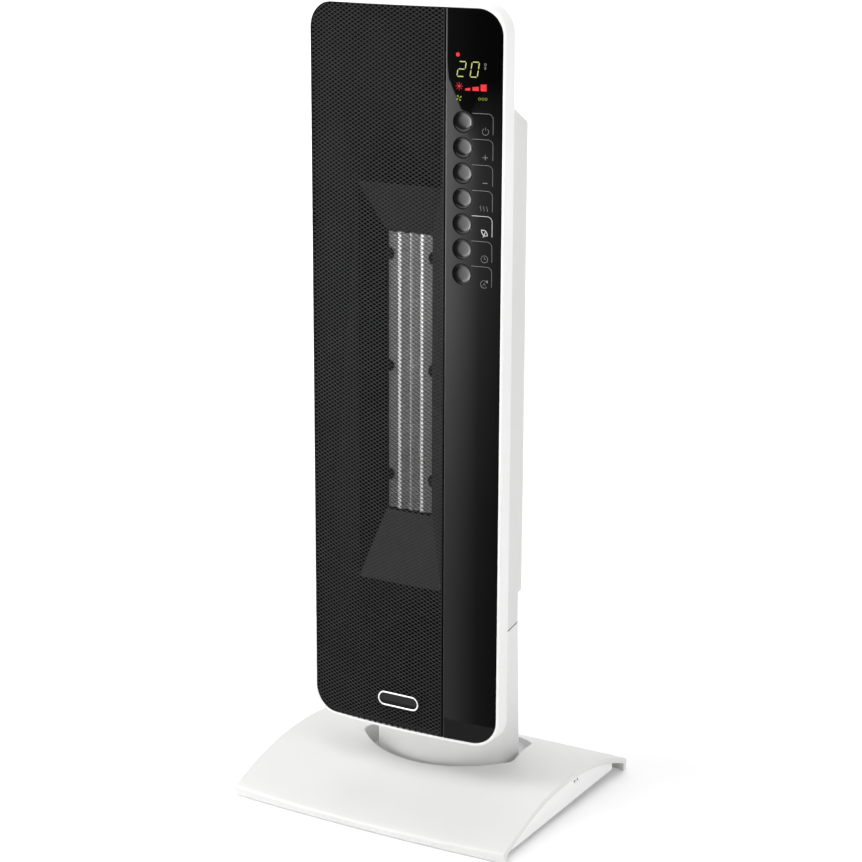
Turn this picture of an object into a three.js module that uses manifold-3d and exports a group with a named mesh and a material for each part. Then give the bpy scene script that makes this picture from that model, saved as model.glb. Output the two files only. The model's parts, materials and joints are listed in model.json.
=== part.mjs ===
// Ceramic tower heater on an arched base. Millimetres, +Z up, front towards -Y.
// The origin is on the floor, under the middle of the base.
import * as THREE from "three";
import { mergeVertices } from "three/addons/utils/BufferGeometryUtils.js";
import Module from "manifold-3d";

const wasm = await Module();
wasm.setup();

// ---- driving dimensions ----
const GAP = 0.3; // clearance between neighbouring pieces
const WALL = 2.5; // usual wall of the plastic mouldings
const BIG = 1000; // reach of a cutting tool beyond the piece that it cuts

// Base: an arch extruded across, its front edge bowed forward.
const BASE = { width: 313, front: -129.4, bow: 5.1, back: 134.5, lip: 1.2 };
const ARCH = { radius: 320, y: 6.5, z: 40.2, wall: 3.5, rim: 6, rimLength: 5 };
const PANEL = { front: -121, back: 110, lowFront: 4, lowBack: 9.3 };
const PLATE = { half: 146, front: -116, back: 108, low: 5, high: 8 };
const FOOT = { x: 128, front: -100, back: 92, radius: 9 };
const SCREW = { x: 112, front: -82, back: 76, head: 4, shank: 1.8, boss: 5 };
const GLAND = { x: 70, z: 8, radius: 4.2, bore: 2.8 };

// Opening in the base that the stand turns in, and the axis of that turn.
const RECESS = { half: 86.5, front: -35, back: 103, backHalf: 74.5, floor: 20 };
const PIVOT_Y = 38;
const SPINDLE = { radius: 9, bore: 6.5, flange: 13.5, low: 12.5, high: 60 };
const SWING = 30; // degrees each way

// Stand: curved front, flat sides, rear face leaning forward as it rises.
const STAND = { half: 74.5, apex: -28, cornerY: 15.5, radius: 8, backLow: 55, backHigh: 48 };
const STAND_LOW = 22;
const STAND_TOP = 200; // before the seam cuts it
const STAND_FLOOR = [30, 33];
const SEAM = { z: 172.3, y: 20, slope: 0.205 }; // the seam climbs towards the back

// Crank of the swing drive: its throw is half the distance from its shaft to the pivot.
const CRANK = { y: -4, throw: 21, low: 23.5, high: 26.5, hub: 7, end: 4, pin: 2 };
const CRANK_SLOT = { half: 6.9, front: -3, back: 20.5 };
const SWING_MOTOR = { radius: 19, height: 15 };

// Front frame: a shallow tray with round corners, its front bulged in plan.
const FRAME = { half: 107.7, low: 79.3, high: 800, radius: 28, back: -38.2, plate: 3 };
const FACE = { half: 104.5, low: 82.7, high: 795.3, radius: 25 };
const BULGE = { radius: 729, y: 666.1 };
const GRILLE = { right: 47.4, inset: 0.5, thick: 1.2 };
const STRIP = { left: 49.2, thick: 2.5 };
const BADGE = { x: -2, z: 111.7, width: 47, height: 15, thick: 1.6 };

// Rear housing and the neck under it.
const HOUSING = { half: 76, back: 60, radius: 18, top: 712, bend: -7, slope: 0.568 };
const NECK = { half: 75, back: 47.5, radius: 8 };
const LEDGE = { low: 207, high: 228 }; // where the rear face steps out from the neck
const INTAKE = { half: 50, low: 300, high: 600 };

// Air path: funnel, heating element, blower.
const DUCT_X = -8;
const FUNNEL = { half: 47, low: 230, high: 627.5, y: -49 };
const WINDOW = { half: 25.5, low: 301, high: 579, y: -33 };
const HEATER = { half: 33, low: 292, high: 588, front: -32.7, back: -10.3 };
const ELEMENT = { front: -30.3, back: -12, bar: 12.6, barWidth: 3, plateWidth: 1 };
const ROTOR = { y: 19, radius: 26, root: 20, low: 300, high: 580, blades: 20, shaft: 3 };
const SCROLL = { low: 296, high: 582, from: 60, to: 224, near: 28.5, far: 38.3, thick: 1.6 };
const FAN_MOTOR = { radius: 27, low: 240, high: 284 };

// Controls.
const BUTTON = { count: 7, x: 65.7, top: 692, pitch: 23.67, radius: 9.3 };
const BOARD = { left: 53, right: 101, front: -47, thick: 1.6, low: 535, high: 770 };

// ---- materials: colour, roughness, metalness ----
const WHITE = [0xe9e9e7, 0.42, 0];
const BLACK = [0x17181a, 0.55, 0];
const GLOSS = [0x08080a, 0.12, 0];
const GREY = [0x8c8f92, 0.6, 0];
const RUBBER = [0x1b1b1c, 0.9, 0];
const DARK_METAL = [0x2c2e31, 0.5, 0.7];
const STEEL = [0xb9bcc0, 0.35, 1];
const ALUMINIUM = [0xc9ccd0, 0.4, 1];
const CIRCUIT = [0x1f5a38, 0.6, 0];

// ---- solids ----
function solid(geometry) {
  const bare = new THREE.BufferGeometry();
  bare.setAttribute("position", geometry.getAttribute("position"));
  if (geometry.index) bare.setIndex(geometry.index);
  const merged = mergeVertices(bare, 1e-3);
  const vertProperties = merged.attributes.position.array;
  const triVerts = new Uint32Array(merged.index.array);
  return new wasm.Manifold(new wasm.Mesh({ numProp: 3, vertProperties, triVerts }));
}

function box(x0, x1, y0, y1, z0, z1) {
  const geometry = new THREE.BoxGeometry(x1 - x0, y1 - y0, z1 - z0);
  return solid(geometry.translate((x0 + x1) / 2, (y0 + y1) / 2, (z0 + z1) / 2));
}

const extruded = (shape, depth, curveSegments) =>
  new THREE.ExtrudeGeometry(shape, { depth, curveSegments, bevelEnabled: false });

// A shape in X and Y, raised from z0 to z1.
const alongZ = (shape, z0, z1, segments = 6) =>
  solid(extruded(shape, z1 - z0, segments).translate(0, 0, z0));

// A shape in X and Z, carried from y0 to y1.
const alongY = (shape, y0, y1, segments = 6) =>
  solid(extruded(shape, y1 - y0, segments).rotateX(Math.PI / 2).translate(0, y1, 0));

// A shape in Y and Z, carried from x0 to x1.
const AXIS_X = new THREE.Vector3(1, 0, 0);
const AXIS_Y = new THREE.Vector3(0, 1, 0);
const AXIS_Z = new THREE.Vector3(0, 0, 1);
const TURN_TO_X = new THREE.Matrix4().makeBasis(AXIS_Y, AXIS_Z, AXIS_X);
const alongX = (shape, x0, x1, segments = 6) =>
  solid(extruded(shape, x1 - x0, segments).applyMatrix4(TURN_TO_X).translate(x0, 0, 0));

const polygon = (points) => new THREE.Shape(points.map(([a, b]) => new THREE.Vector2(a, b)));

function roundedRect(x0, x1, y0, y1, r) {
  const shape = new THREE.Shape();
  shape.absarc(x1 - r, y0 + r, r, -Math.PI / 2, 0, false);
  shape.absarc(x1 - r, y1 - r, r, 0, Math.PI / 2, false);
  shape.absarc(x0 + r, y1 - r, r, Math.PI / 2, Math.PI, false);
  shape.absarc(x0 + r, y0 + r, r, Math.PI, 1.5 * Math.PI, false);
  shape.closePath();
  return shape;
}

const circle = (x, y, r) => new THREE.Shape().absarc(x, y, r, 0, 2 * Math.PI, false);

function ring(x, y, inner, outer) {
  const shape = circle(x, y, outer);
  shape.holes.push(circle(x, y, inner));
  return shape;
}

function rod(x, y, r, z0, z1, sides = 20) {
  const geometry = new THREE.CylinderGeometry(r, r, z1 - z0, sides).rotateX(Math.PI / 2);
  return solid(geometry.translate(x, y, (z0 + z1) / 2));
}

function rodAlongY(x, z, r, y0, y1, sides = 16) {
  const geometry = new THREE.CylinderGeometry(r, r, y1 - y0, sides);
  return solid(geometry.translate(x, (y0 + y1) / 2, z));
}

// A solid between two outlines with the same number of points, at two heights.
function loft(low, z0, high, z1) {
  const count = low.length;
  const points = [...low.map((p) => [p.x, p.y, z0]), ...high.map((p) => [p.x, p.y, z1])];
  const index = [];
  for (const [a, b, c] of THREE.ShapeUtils.triangulateShape(low, [])) {
    index.push(a, c, b);
    index.push(a + count, b + count, c + count);
  }
  for (let i = 0; i < count; i++) {
    const next = (i + 1) % count;
    index.push(i, next, next + count, i, next + count, i + count);
  }
  const geometry = new THREE.BufferGeometry();
  geometry.setAttribute("position", new THREE.Float32BufferAttribute(points.flat(), 3));
  geometry.setIndex(index);
  return solid(geometry);
}

const join = (first, ...rest) => rest.reduce((sum, next) => sum.add(next), first);
const cut = (first, ...tools) => tools.reduce((left, tool) => left.subtract(tool), first);

// Radius of an arc, from half its chord and its rise.
const arcRadius = (halfChord, rise) => (halfChord ** 2 + rise ** 2) / (2 * rise);

// ---- the assembly ----
const heater = new THREE.Group();

function add(name, body, [color, roughness, metalness]) {
  const found = body.getMesh();
  const geometry = new THREE.BufferGeometry();
  geometry.setAttribute("position", new THREE.BufferAttribute(found.vertProperties, 3));
  geometry.setIndex(new THREE.BufferAttribute(found.triVerts, 1));
  const material = new THREE.MeshStandardMaterial({ color, roughness, metalness });
  const mesh = new THREE.Mesh(geometry, material);
  mesh.name = name;
  heater.add(mesh);
}

// ---- base ----
// Side profile of the arch, its walls moved in by t.
function archProfile(t) {
  const radius = ARCH.radius - t;
  const front = BASE.front - BASE.bow + t;
  const back = BASE.back - t;
  const bottom = t > 0 ? -BIG : BASE.lip;
  const angleAt = (y) => Math.acos((y - ARCH.y) / radius);
  const shape = new THREE.Shape();
  shape.moveTo(front, bottom);
  shape.lineTo(back, bottom);
  shape.absarc(ARCH.y, ARCH.z - ARCH.radius, radius, angleAt(back), angleAt(front), false);
  shape.closePath();
  return shape;
}

// Plan of the base, its front and back moved in by t and its two ends by ends.
function basePlan(t, ends) {
  const half = BASE.width / 2 - ends;
  const radius = arcRadius(BASE.width / 2, BASE.bow);
  const sweep = Math.asin(half / (radius - t));
  const centre = BASE.front - BASE.bow + radius;
  const shape = new THREE.Shape();
  shape.moveTo(half, BASE.back - t);
  shape.lineTo(-half, BASE.back - t);
  shape.absarc(0, centre, radius - t, -Math.PI / 2 - sweep, -Math.PI / 2 + sweep, false);
  shape.closePath();
  return shape;
}

function archSolid(t, ends) {
  const half = BASE.width / 2 - ends;
  const lengthwise = alongX(archProfile(t), -half, half, 10);
  return lengthwise.intersect(alongZ(basePlan(t, ends), -BIG, BIG, 8));
}

// Outline of the opening, grown by g: bowed front, sides closing in, clipped rear corners.
function recessPlan(g) {
  const half = RECESS.half + g;
  const backHalf = RECESS.backHalf + g;
  const back = RECESS.back + g;
  const frontHalf = RECESS.half - 2.5;
  const radius = arcRadius(frontHalf, 39);
  const sweep = Math.asin(frontHalf / radius);
  const centre = RECESS.front + radius;
  const shape = new THREE.Shape();
  shape.absarc(0, centre, radius + g, -Math.PI / 2 - sweep, -Math.PI / 2 + sweep, false);
  const start = shape.getPoint(0);
  shape.quadraticCurveTo(half + 2, 8, half, 18);
  shape.lineTo(backHalf, 74);
  shape.quadraticCurveTo(backHalf - 1.5, 82, backHalf - 8.5, 87.5 + g);
  shape.quadraticCurveTo(48, back, 38, back);
  shape.lineTo(-38, back);
  shape.quadraticCurveTo(-48, back, 8.5 - backHalf, 87.5 + g);
  shape.quadraticCurveTo(1.5 - backHalf, 82, -backHalf, 74);
  shape.lineTo(-half, 18);
  shape.quadraticCurveTo(-half - 2, 8, start.x, start.y);
  return shape;
}

const screwPlaces = [-1, 1].flatMap((side) =>
  [SCREW.front, SCREW.back].map((y) => [side * SCREW.x, y]),
);

function screwBoss([x, y]) {
  const boss = rod(x, y, SCREW.boss, PLATE.high + GAP, ARCH.z, 12).intersect(archSolid(1, 1));
  return boss.subtract(rod(x, y, SCREW.shank + GAP, 0, 18, 10));
}

const hollowShell = cut(
  archSolid(0, 0),
  archSolid(ARCH.wall, ARCH.rimLength),
  archSolid(ARCH.rim, -1),
  alongZ(recessPlan(0), 0, BIG, 3),
  rodAlongY(GLAND.x, GLAND.z, GLAND.radius + GAP, BASE.back - 10, BASE.back + 1),
);
add("base_shell", join(hollowShell, ...screwPlaces.map(screwBoss)), WHITE);

// Infill panels between the arch and the floor, set back from the ends of the shell.
const panelOuter = BASE.width / 2 - ARCH.rimLength - GAP;
const panelOutline = polygon([
  [PANEL.front, PANEL.lowFront],
  [PANEL.back, PANEL.lowBack],
  [PANEL.back, ARCH.z],
  [PANEL.front, ARCH.z],
]);
for (const [name, x] of [["left", -panelOuter], ["right", panelOuter - WALL]]) {
  const panel = alongX(panelOutline, x, x + WALL).intersect(archSolid(ARCH.wall + GAP, 1));
  add(`base_end_panel_${name}`, panel, WHITE);
}

const plateOutline = roundedRect(-PLATE.half, PLATE.half, PLATE.front, PLATE.back, 8);
const plateHoles = screwPlaces.map(([x, y]) => rod(x, y, SCREW.shank + GAP, 0, 10, 10));
add("base_bottom_plate", cut(alongZ(plateOutline, PLATE.low, PLATE.high, 2), ...plateHoles), GREY);

screwPlaces.forEach(([x, y], i) => {
  const head = rod(x, y, SCREW.head, 2.6, PLATE.low - GAP, 12);
  add(`base_screw_${i + 1}`, join(head, rod(x, y, SCREW.shank, 3, 16, 10)), STEEL);
});

for (const [side, x] of [["left", -FOOT.x], ["right", FOOT.x]]) {
  for (const [end, y] of [["front", FOOT.front], ["rear", FOOT.back]]) {
    add(`foot_${end}_${side}`, rod(x, y, FOOT.radius, 0, PLATE.low - GAP, 16), RUBBER);
  }
}

// Cup under the opening, with a bore for the spindle and a slot for the crank pin.
const cupBody = alongZ(recessPlan(WALL), RECESS.floor - WALL, ARCH.z, 3);
const recessCup = cut(
  cupBody.intersect(archSolid(ARCH.wall + GAP, ARCH.rimLength)),
  alongZ(recessPlan(0), RECESS.floor, BIG, 3),
  rod(0, PIVOT_Y, SPINDLE.radius + 2 * GAP, 0, BIG, 24),
  box(-CRANK_SLOT.half, CRANK_SLOT.half, CRANK_SLOT.front, CRANK_SLOT.back, 0, BIG),
);
add("recess_cup", recessCup, WHITE);

const turntableRing = ring(0, PIVOT_Y, SPINDLE.radius + 1, SPINDLE.flange - 1);
const ringZ = [RECESS.floor + GAP, STAND_FLOOR[0] - GAP];
add("turntable_ring", alongZ(turntableRing, ringZ[0], ringZ[1], 10), GREY);

add("tilt_switch", box(58, 82, -72, -50, PLATE.high + GAP, 22), BLACK);

const glandBody = rodAlongY(GLAND.x, GLAND.z, GLAND.radius, BASE.back - 14, BASE.back);
const glandBore = rodAlongY(GLAND.x, GLAND.z, GLAND.bore, BASE.back - 20, BASE.back + 1, 12);
add("cord_gland", glandBody.subtract(glandBore), BLACK);

// ---- stand ----
// Outline of the stand at one height, moved in by t.
function standOutline(back, t) {
  const half = STAND.half - t;
  const radius = arcRadius(STAND.half, STAND.cornerY - STAND.apex);
  const centre = STAND.apex + radius;
  const sweep = Math.asin(half / (radius - t));
  const corner = STAND.radius - t;
  const shape = new THREE.Shape();
  shape.absarc(0, centre, radius - t, -Math.PI / 2 - sweep, -Math.PI / 2 + sweep, false);
  shape.absarc(half - corner, back - t - corner, corner, 0, Math.PI / 2, false);
  shape.absarc(corner - half, back - t - corner, corner, Math.PI / 2, Math.PI, false);
  return shape.getPoints(8);
}

function standBlock(t, z0, z1) {
  const outlineAt = (z) => {
    const along = (z - STAND_LOW) / (STAND_TOP - STAND_LOW);
    return standOutline(THREE.MathUtils.lerp(STAND.backLow, STAND.backHigh, along), t);
  };
  return loft(outlineAt(z0), z0, outlineAt(z1), z1);
}

// Everything under the tilted seam, lowered by drop.
const seamAt = (y) => SEAM.z + SEAM.slope * (y - SEAM.y);
const underSeam = (drop) =>
  alongX(
    polygon([[-100, 0], [100, 0], [100, seamAt(100) - drop], [-100, seamAt(-100) - drop]]),
    -BIG,
    BIG,
  );

const pedestal = cut(
  join(
    standBlock(0, STAND_LOW, STAND_TOP).subtract(standBlock(WALL, 0, STAND_TOP + 50)),
    standBlock(WALL / 2, STAND_FLOOR[0], STAND_FLOOR[1]),
  ).intersect(underSeam(GAP)),
  rod(0, PIVOT_Y, SPINDLE.radius + GAP, 0, BIG, 24),
  rod(0, CRANK.y, CRANK.hub - 2, 0, BIG, 16),
);
add("pedestal", pedestal, WHITE);

const spindleBody = join(
  rod(0, PIVOT_Y, SPINDLE.radius, SPINDLE.low, SPINDLE.high, 24),
  rod(0, PIVOT_Y, SPINDLE.flange, STAND_FLOOR[1] + GAP, STAND_FLOOR[1] + 3, 24),
);
add("pivot_spindle", spindleBody.subtract(rod(0, PIVOT_Y, SPINDLE.bore, 0, BIG, 16)), STEEL);
const retainer = ring(0, PIVOT_Y, SPINDLE.radius + GAP, SPINDLE.flange - 1);
const retainerTop = RECESS.floor - WALL - GAP;
add("spindle_retainer", alongZ(retainer, retainerTop - 3, retainerTop, 8), STEEL);

const motorLow = STAND_FLOOR[1] + GAP;
const swingMotor = join(
  rod(0, CRANK.y, SWING_MOTOR.radius, motorLow, motorLow + SWING_MOTOR.height, 24),
  box(-27, 27, CRANK.y - 4, CRANK.y + 4, motorLow, motorLow + 2),
);
const shaftBore = rod(0, CRANK.y, 3 + GAP, 0, motorLow + 8, 12);
add("oscillation_motor", swingMotor.subtract(shaftBore), GREY);

const crankPinY = CRANK.y + CRANK.throw;
const crankArm = join(
  rod(0, CRANK.y, CRANK.hub, CRANK.low, CRANK.high, 16),
  rod(0, crankPinY, CRANK.end, CRANK.low, CRANK.high, 14),
  box(-CRANK.end, CRANK.end, CRANK.y, crankPinY, CRANK.low, CRANK.high),
  rod(0, CRANK.y, 3, CRANK.low, motorLow + 7, 12),
  rod(0, crankPinY, CRANK.pin, RECESS.floor - 2, CRANK.high, 12),
);
add("crank_arm", crankArm, STEEL);

// ---- rear housing ----
// Side profile of the housing above the ledge, its walls moved in by t.
function housingProfile(t) {
  const { back, top, bend, slope } = HOUSING;
  const steep = Math.hypot(1, slope);
  const slopeAt = (y) => top - t * steep - slope * (y - bend);
  const shape = new THREE.Shape();
  shape.moveTo(-BIG, top - t);
  shape.lineTo(bend, top - t);
  shape.lineTo(back - 10, slopeAt(back - 10));
  shape.quadraticCurveTo(back - t, slopeAt(back - t), back - t, slopeAt(back) - 10);
  shape.lineTo(back - t, LEDGE.high);
  shape.quadraticCurveTo(back - t, LEDGE.low + t, NECK.back - t, LEDGE.low + t);
  shape.lineTo(-BIG, LEDGE.low + t);
  shape.closePath();
  return shape;
}

function housingBlock(t, front) {
  const upperPlan = roundedRect(t - HOUSING.half, HOUSING.half - t, -200, HOUSING.back - t,
    HOUSING.radius - t);
  const neckPlan = roundedRect(t - NECK.half, NECK.half - t, -200, NECK.back - t, NECK.radius - t);
  const upper = alongX(housingProfile(t), -BIG, BIG, 4).intersect(alongZ(upperPlan, 0, BIG, 4));
  const neck = alongZ(neckPlan, 0, LEDGE.high - t, 3);
  return join(upper, neck).intersect(box(-BIG, BIG, front, BIG, -BIG, BIG));
}

const housingFront = FRAME.back + GAP;
const intake = box(-INTAKE.half, INTAKE.half, 40, 80, INTAKE.low, INTAKE.high);
const housingScrews = [-52, 52].flatMap((x) => [250, 645].map((z) => [x, z]));
const housingShell = cut(
  housingBlock(0, housingFront),
  housingBlock(WALL, -200),
  underSeam(0),
  intake,
);
const housingBosses = housingScrews.map(([x, z]) => rodAlongY(x, z, 6.5, 44, 59, 12));
const counterbores = housingScrews.flatMap(([x, z]) => [
  rodAlongY(x, z, 4.2, 56, 62),
  rodAlongY(x, z, 2.1, 40, 58, 10),
]);
add("rear_housing", cut(join(housingShell, ...housingBosses), ...counterbores), WHITE);

housingScrews.forEach(([x, z], i) => {
  const screw = join(rodAlongY(x, z, 3.8, 56.3, 58.9, 12), rodAlongY(x, z, 1.8, 45, 58, 10));
  add(`housing_screw_${i + 1}`, screw, STEEL);
});

// Intake cassette that pulls off rearwards: a slatted cover with a dust screen behind it.
const CASSETTE = { half: INTAKE.half - GAP, low: INTAKE.low + GAP, high: INTAKE.high - GAP };
const CASSETTE_Y = [52.8, HOUSING.back];
const SLATS = { rows: 19, columns: 2, bar: 3, edge: 4 };
function intakeCassette() {
  const { half, low, high } = CASSETTE;
  const cover = box(-half, half, CASSETTE_Y[0], CASSETTE_Y[1], low, high);
  const pocket = box(SLATS.edge - half, half - SLATS.edge, 50, 57, low + SLATS.edge,
    high - SLATS.edge);
  const width = 2 * (half - SLATS.edge);
  const height = high - low - 2 * SLATS.edge;
  const stepX = (width + SLATS.bar) / SLATS.columns;
  const stepZ = (height + SLATS.bar) / SLATS.rows;
  const windows = [];
  for (let column = 0; column < SLATS.columns; column++) {
    for (let row = 0; row < SLATS.rows; row++) {
      const x = SLATS.edge - half + column * stepX;
      const z = low + SLATS.edge + row * stepZ;
      windows.push(box(x, x + stepX - SLATS.bar, 50, 70, z, z + stepZ - SLATS.bar));
    }
  }
  return cut(cover, pocket, ...windows);
}
add("filter_cassette", intakeCassette(), WHITE);
const screenEdge = SLATS.edge + GAP;
const dustScreen = box(screenEdge - CASSETTE.half, CASSETTE.half - screenEdge, 54.5, 55.7,
  CASSETTE.low + screenEdge, CASSETTE.high - screenEdge);
add("filter_mesh", dustScreen, GREY);

// ---- front ----
// Layer of the bulged front between two depths below its surface.
function bulgeLayer(depth, thick) {
  const sweep = Math.asin((FRAME.half + 10) / BULGE.radius);
  const down = -Math.PI / 2;
  const outer = BULGE.radius - depth;
  const shape = new THREE.Shape();
  shape.absarc(0, BULGE.y, outer, down - sweep, down + sweep, false);
  shape.absarc(0, BULGE.y, outer - thick, down + sweep, down - sweep, true);
  shape.closePath();
  return alongZ(shape, 0, BIG, 10);
}

const frameOutline = roundedRect(-FRAME.half, FRAME.half, FRAME.low, FRAME.high, FRAME.radius);
const mouth = FACE.half + GAP;
const frameMouth = roundedRect(-mouth, mouth, FACE.low - GAP, FACE.high + GAP, FACE.radius + GAP);
const faceOutline = roundedRect(-FACE.half, FACE.half, FACE.low, FACE.high, FACE.radius);
const frontFrame = cut(
  alongY(frameOutline, -80, FRAME.back, 5).intersect(bulgeLayer(0, 60)),
  alongY(frameMouth, -80, FRAME.back - FRAME.plate, 5),
  box(-66, 66, -BIG, BIG, 200, 700),
);
add("front_frame", frontFrame, WHITE);

// Grille: a curved sheet, open in rows of slots over the funnel.
const grilleSheet = bulgeLayer(GRILLE.inset, GRILLE.thick).intersect(
  alongY(faceOutline, -80, 0, 5).intersect(box(-BIG, GRILLE.right, -80, 0, 0, BIG)),
);
const grilleSlots = [];
for (let column = 0; column < 3; column++) {
  for (let row = 0; row < 18; row++) {
    const x = DUCT_X - 44 + column * 31;
    const z = FUNNEL.low + 4 + row * 22;
    grilleSlots.push(box(x, x + 26, -80, 0, z, z + 15));
  }
}
add("front_grille", cut(grilleSheet, ...grilleSlots), DARK_METAL);

// Each button sits square to the bulged surface.
const buttonDepth = BULGE.y - Math.sqrt(BULGE.radius ** 2 - BUTTON.x ** 2);
const buttonOut = new THREE.Vector3(BUTTON.x, buttonDepth - BULGE.y, 0).normalize();
const buttonTurn = new THREE.Quaternion().setFromUnitVectors(AXIS_Z, buttonOut);
const buttonZ = (i) => BUTTON.top - i * BUTTON.pitch;

// A turned piece on a button's axis, from points of radius and height above the surface.
function onButtonAxis(profile, i, sides) {
  const points = profile.map(([r, h]) => new THREE.Vector2(r, h));
  const geometry = new THREE.LatheGeometry(points, sides).rotateX(Math.PI / 2);
  geometry.applyQuaternion(buttonTurn).translate(BUTTON.x, buttonDepth, buttonZ(i));
  return solid(geometry);
}
const buttonBore = BUTTON.radius + GAP;
const boreProfile = [[0, -10], [buttonBore, -10], [buttonBore, 10], [0, 10]];
const capProfile = [
  [0, -9.5], [2.5, -9.5], [2.5, -5], [9.3, -5], [9.3, -0.4], [8.9, -0.1], [5.2, -2], [0, -2],
];
const buttons = Array.from({ length: BUTTON.count }, (_, i) => i);
const stripSheet = bulgeLayer(0, STRIP.thick).intersect(
  alongY(faceOutline, -80, 0, 5).intersect(box(STRIP.left, BIG, -80, 0, 0, BIG)),
);
const stripBores = buttons.map((i) => onButtonAxis(boreProfile, i, 24));
add("control_panel", cut(stripSheet, ...stripBores), GLOSS);
for (const i of buttons) {
  add(`button_${i + 1}`, onButtonAxis(capProfile, i, 24), GLOSS);
}

const boardSwitches = buttons.map((i) =>
  box(BUTTON.x - 3, BUTTON.x + 3, -48.9, BOARD.front + 1, buttonZ(i) - 3, buttonZ(i) + 3),
);
const boardSheet = box(BOARD.left, BOARD.right, BOARD.front, BOARD.front + BOARD.thick,
  BOARD.low, BOARD.high);
add("control_board", join(boardSheet, ...boardSwitches), CIRCUIT);
add("display_module", box(54, 94, -53.6, BOARD.front - GAP, 712, 760), BLACK);

const badgeHalf = BADGE.width / 2;
const badgeOutline = roundedRect(BADGE.x - badgeHalf, BADGE.x + badgeHalf,
  BADGE.z - BADGE.height / 2, BADGE.z + BADGE.height / 2, BADGE.height / 2);
const badgeBack = BULGE.y - BULGE.radius + GRILLE.inset - GAP;
add("badge_plate", alongY(badgeOutline, badgeBack - BADGE.thick, badgeBack, 5), ALUMINIUM);

// Funnel sunk between its rim behind the grille and the window at the element, grown by g.
function funnelSolid(g, y0, y1) {
  const corners = (y) => {
    const along = (y - FUNNEL.y) / (WINDOW.y - FUNNEL.y);
    const at = (key) => THREE.MathUtils.lerp(FUNNEL[key], WINDOW[key], along);
    const x = [DUCT_X - at("half") - g, DUCT_X + at("half") + g];
    const z = [at("low") - g, at("high") + g];
    return [[x[0], -z[0]], [x[0], -z[1]], [x[1], -z[1]], [x[1], -z[0]]].map(
      ([a, b]) => new THREE.Vector2(a, b),
    );
  };
  return loft(corners(y0), y0, corners(y1), y1).rotate([-90, 0, 0]);
}
const baffleWall = 2;
const bafflePlate = alongY(faceOutline, FUNNEL.y - baffleWall, FUNNEL.y, 5);
const outletBaffle = cut(
  join(
    bafflePlate.intersect(box(-BIG, GRILLE.right, -80, 0, 0, BIG)),
    funnelSolid(baffleWall, FUNNEL.y - baffleWall, WINDOW.y),
  ),
  funnelSolid(0, FUNNEL.y - 5, WINDOW.y + 5),
);
add("outlet_baffle", outletBaffle, BLACK);

// ---- heating element ----
const elementZ = [WINDOW.low + GAP, WINDOW.high - GAP];
const clips = [-1, 1].flatMap((side) =>
  [335, 445, 556].map((z) => {
    const edge = DUCT_X + side * WINDOW.half;
    return box(edge - 2.5, edge + 2.5, HEATER.front, HEATER.front + 2, z - 4, z + 4);
  }),
);
const heaterRing = box(DUCT_X - HEATER.half, DUCT_X + HEATER.half, HEATER.front, HEATER.back,
  HEATER.low, HEATER.high);
const heaterOpening = box(DUCT_X - WINDOW.half, DUCT_X + WINDOW.half, -80, 0,
  WINDOW.low, WINDOW.high);
add("heater_frame", join(heaterRing.subtract(heaterOpening), ...clips), BLACK);

// Corrugated fins as ladders: rows of air gaps between two rails.
const FIN = { rows: 14, rail: 0.8, web: 3 };
function finBlock(x0, x1) {
  const pitch = (elementZ[1] - elementZ[0] - FIN.web) / FIN.rows;
  const gaps = [];
  for (let row = 0; row < FIN.rows; row++) {
    const z = elementZ[0] + FIN.web + row * pitch;
    gaps.push(box(x0 + FIN.rail, x1 - FIN.rail, -80, 0, z, z + pitch - FIN.web));
  }
  return cut(box(x0, x1, ELEMENT.front, ELEMENT.back, ...elementZ), ...gaps);
}
const outerFin = [ELEMENT.bar + ELEMENT.barWidth / 2 + GAP, WINDOW.half - GAP];
const innerFin = [ELEMENT.plateWidth / 2 + GAP, ELEMENT.bar - ELEMENT.barWidth / 2 - GAP];
add("fin_block_1", finBlock(DUCT_X - outerFin[1], DUCT_X - outerFin[0]), ALUMINIUM);
add("fin_block_2", finBlock(DUCT_X - innerFin[1], DUCT_X - innerFin[0]), ALUMINIUM);
add("fin_block_3", finBlock(DUCT_X + innerFin[0], DUCT_X + innerFin[1]), ALUMINIUM);
add("fin_block_4", finBlock(DUCT_X + outerFin[0], DUCT_X + outerFin[1]), ALUMINIUM);
[-1, 1].forEach((side, i) => {
  const x = DUCT_X + side * ELEMENT.bar;
  const half = ELEMENT.barWidth / 2;
  add(`ptc_bar_${i + 1}`, box(x - half, x + half, ELEMENT.front, ELEMENT.back, ...elementZ), STEEL);
  const tab = box(x - 3, x + 3, -22, -21, HEATER.high + GAP, HEATER.high + 12);
  add(`heater_terminal_${i + 1}`, tab, STEEL);
});
const plateHalf = ELEMENT.plateWidth / 2;
const electrode = box(DUCT_X - plateHalf, DUCT_X + plateHalf, ELEMENT.front, ELEMENT.back,
  ...elementZ);
add("electrode_plate", electrode, STEEL);
add("thermal_cutout", rodAlongY(DUCT_X, HEATER.high + 10, 7, -27, -19, 20), BLACK);

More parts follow.
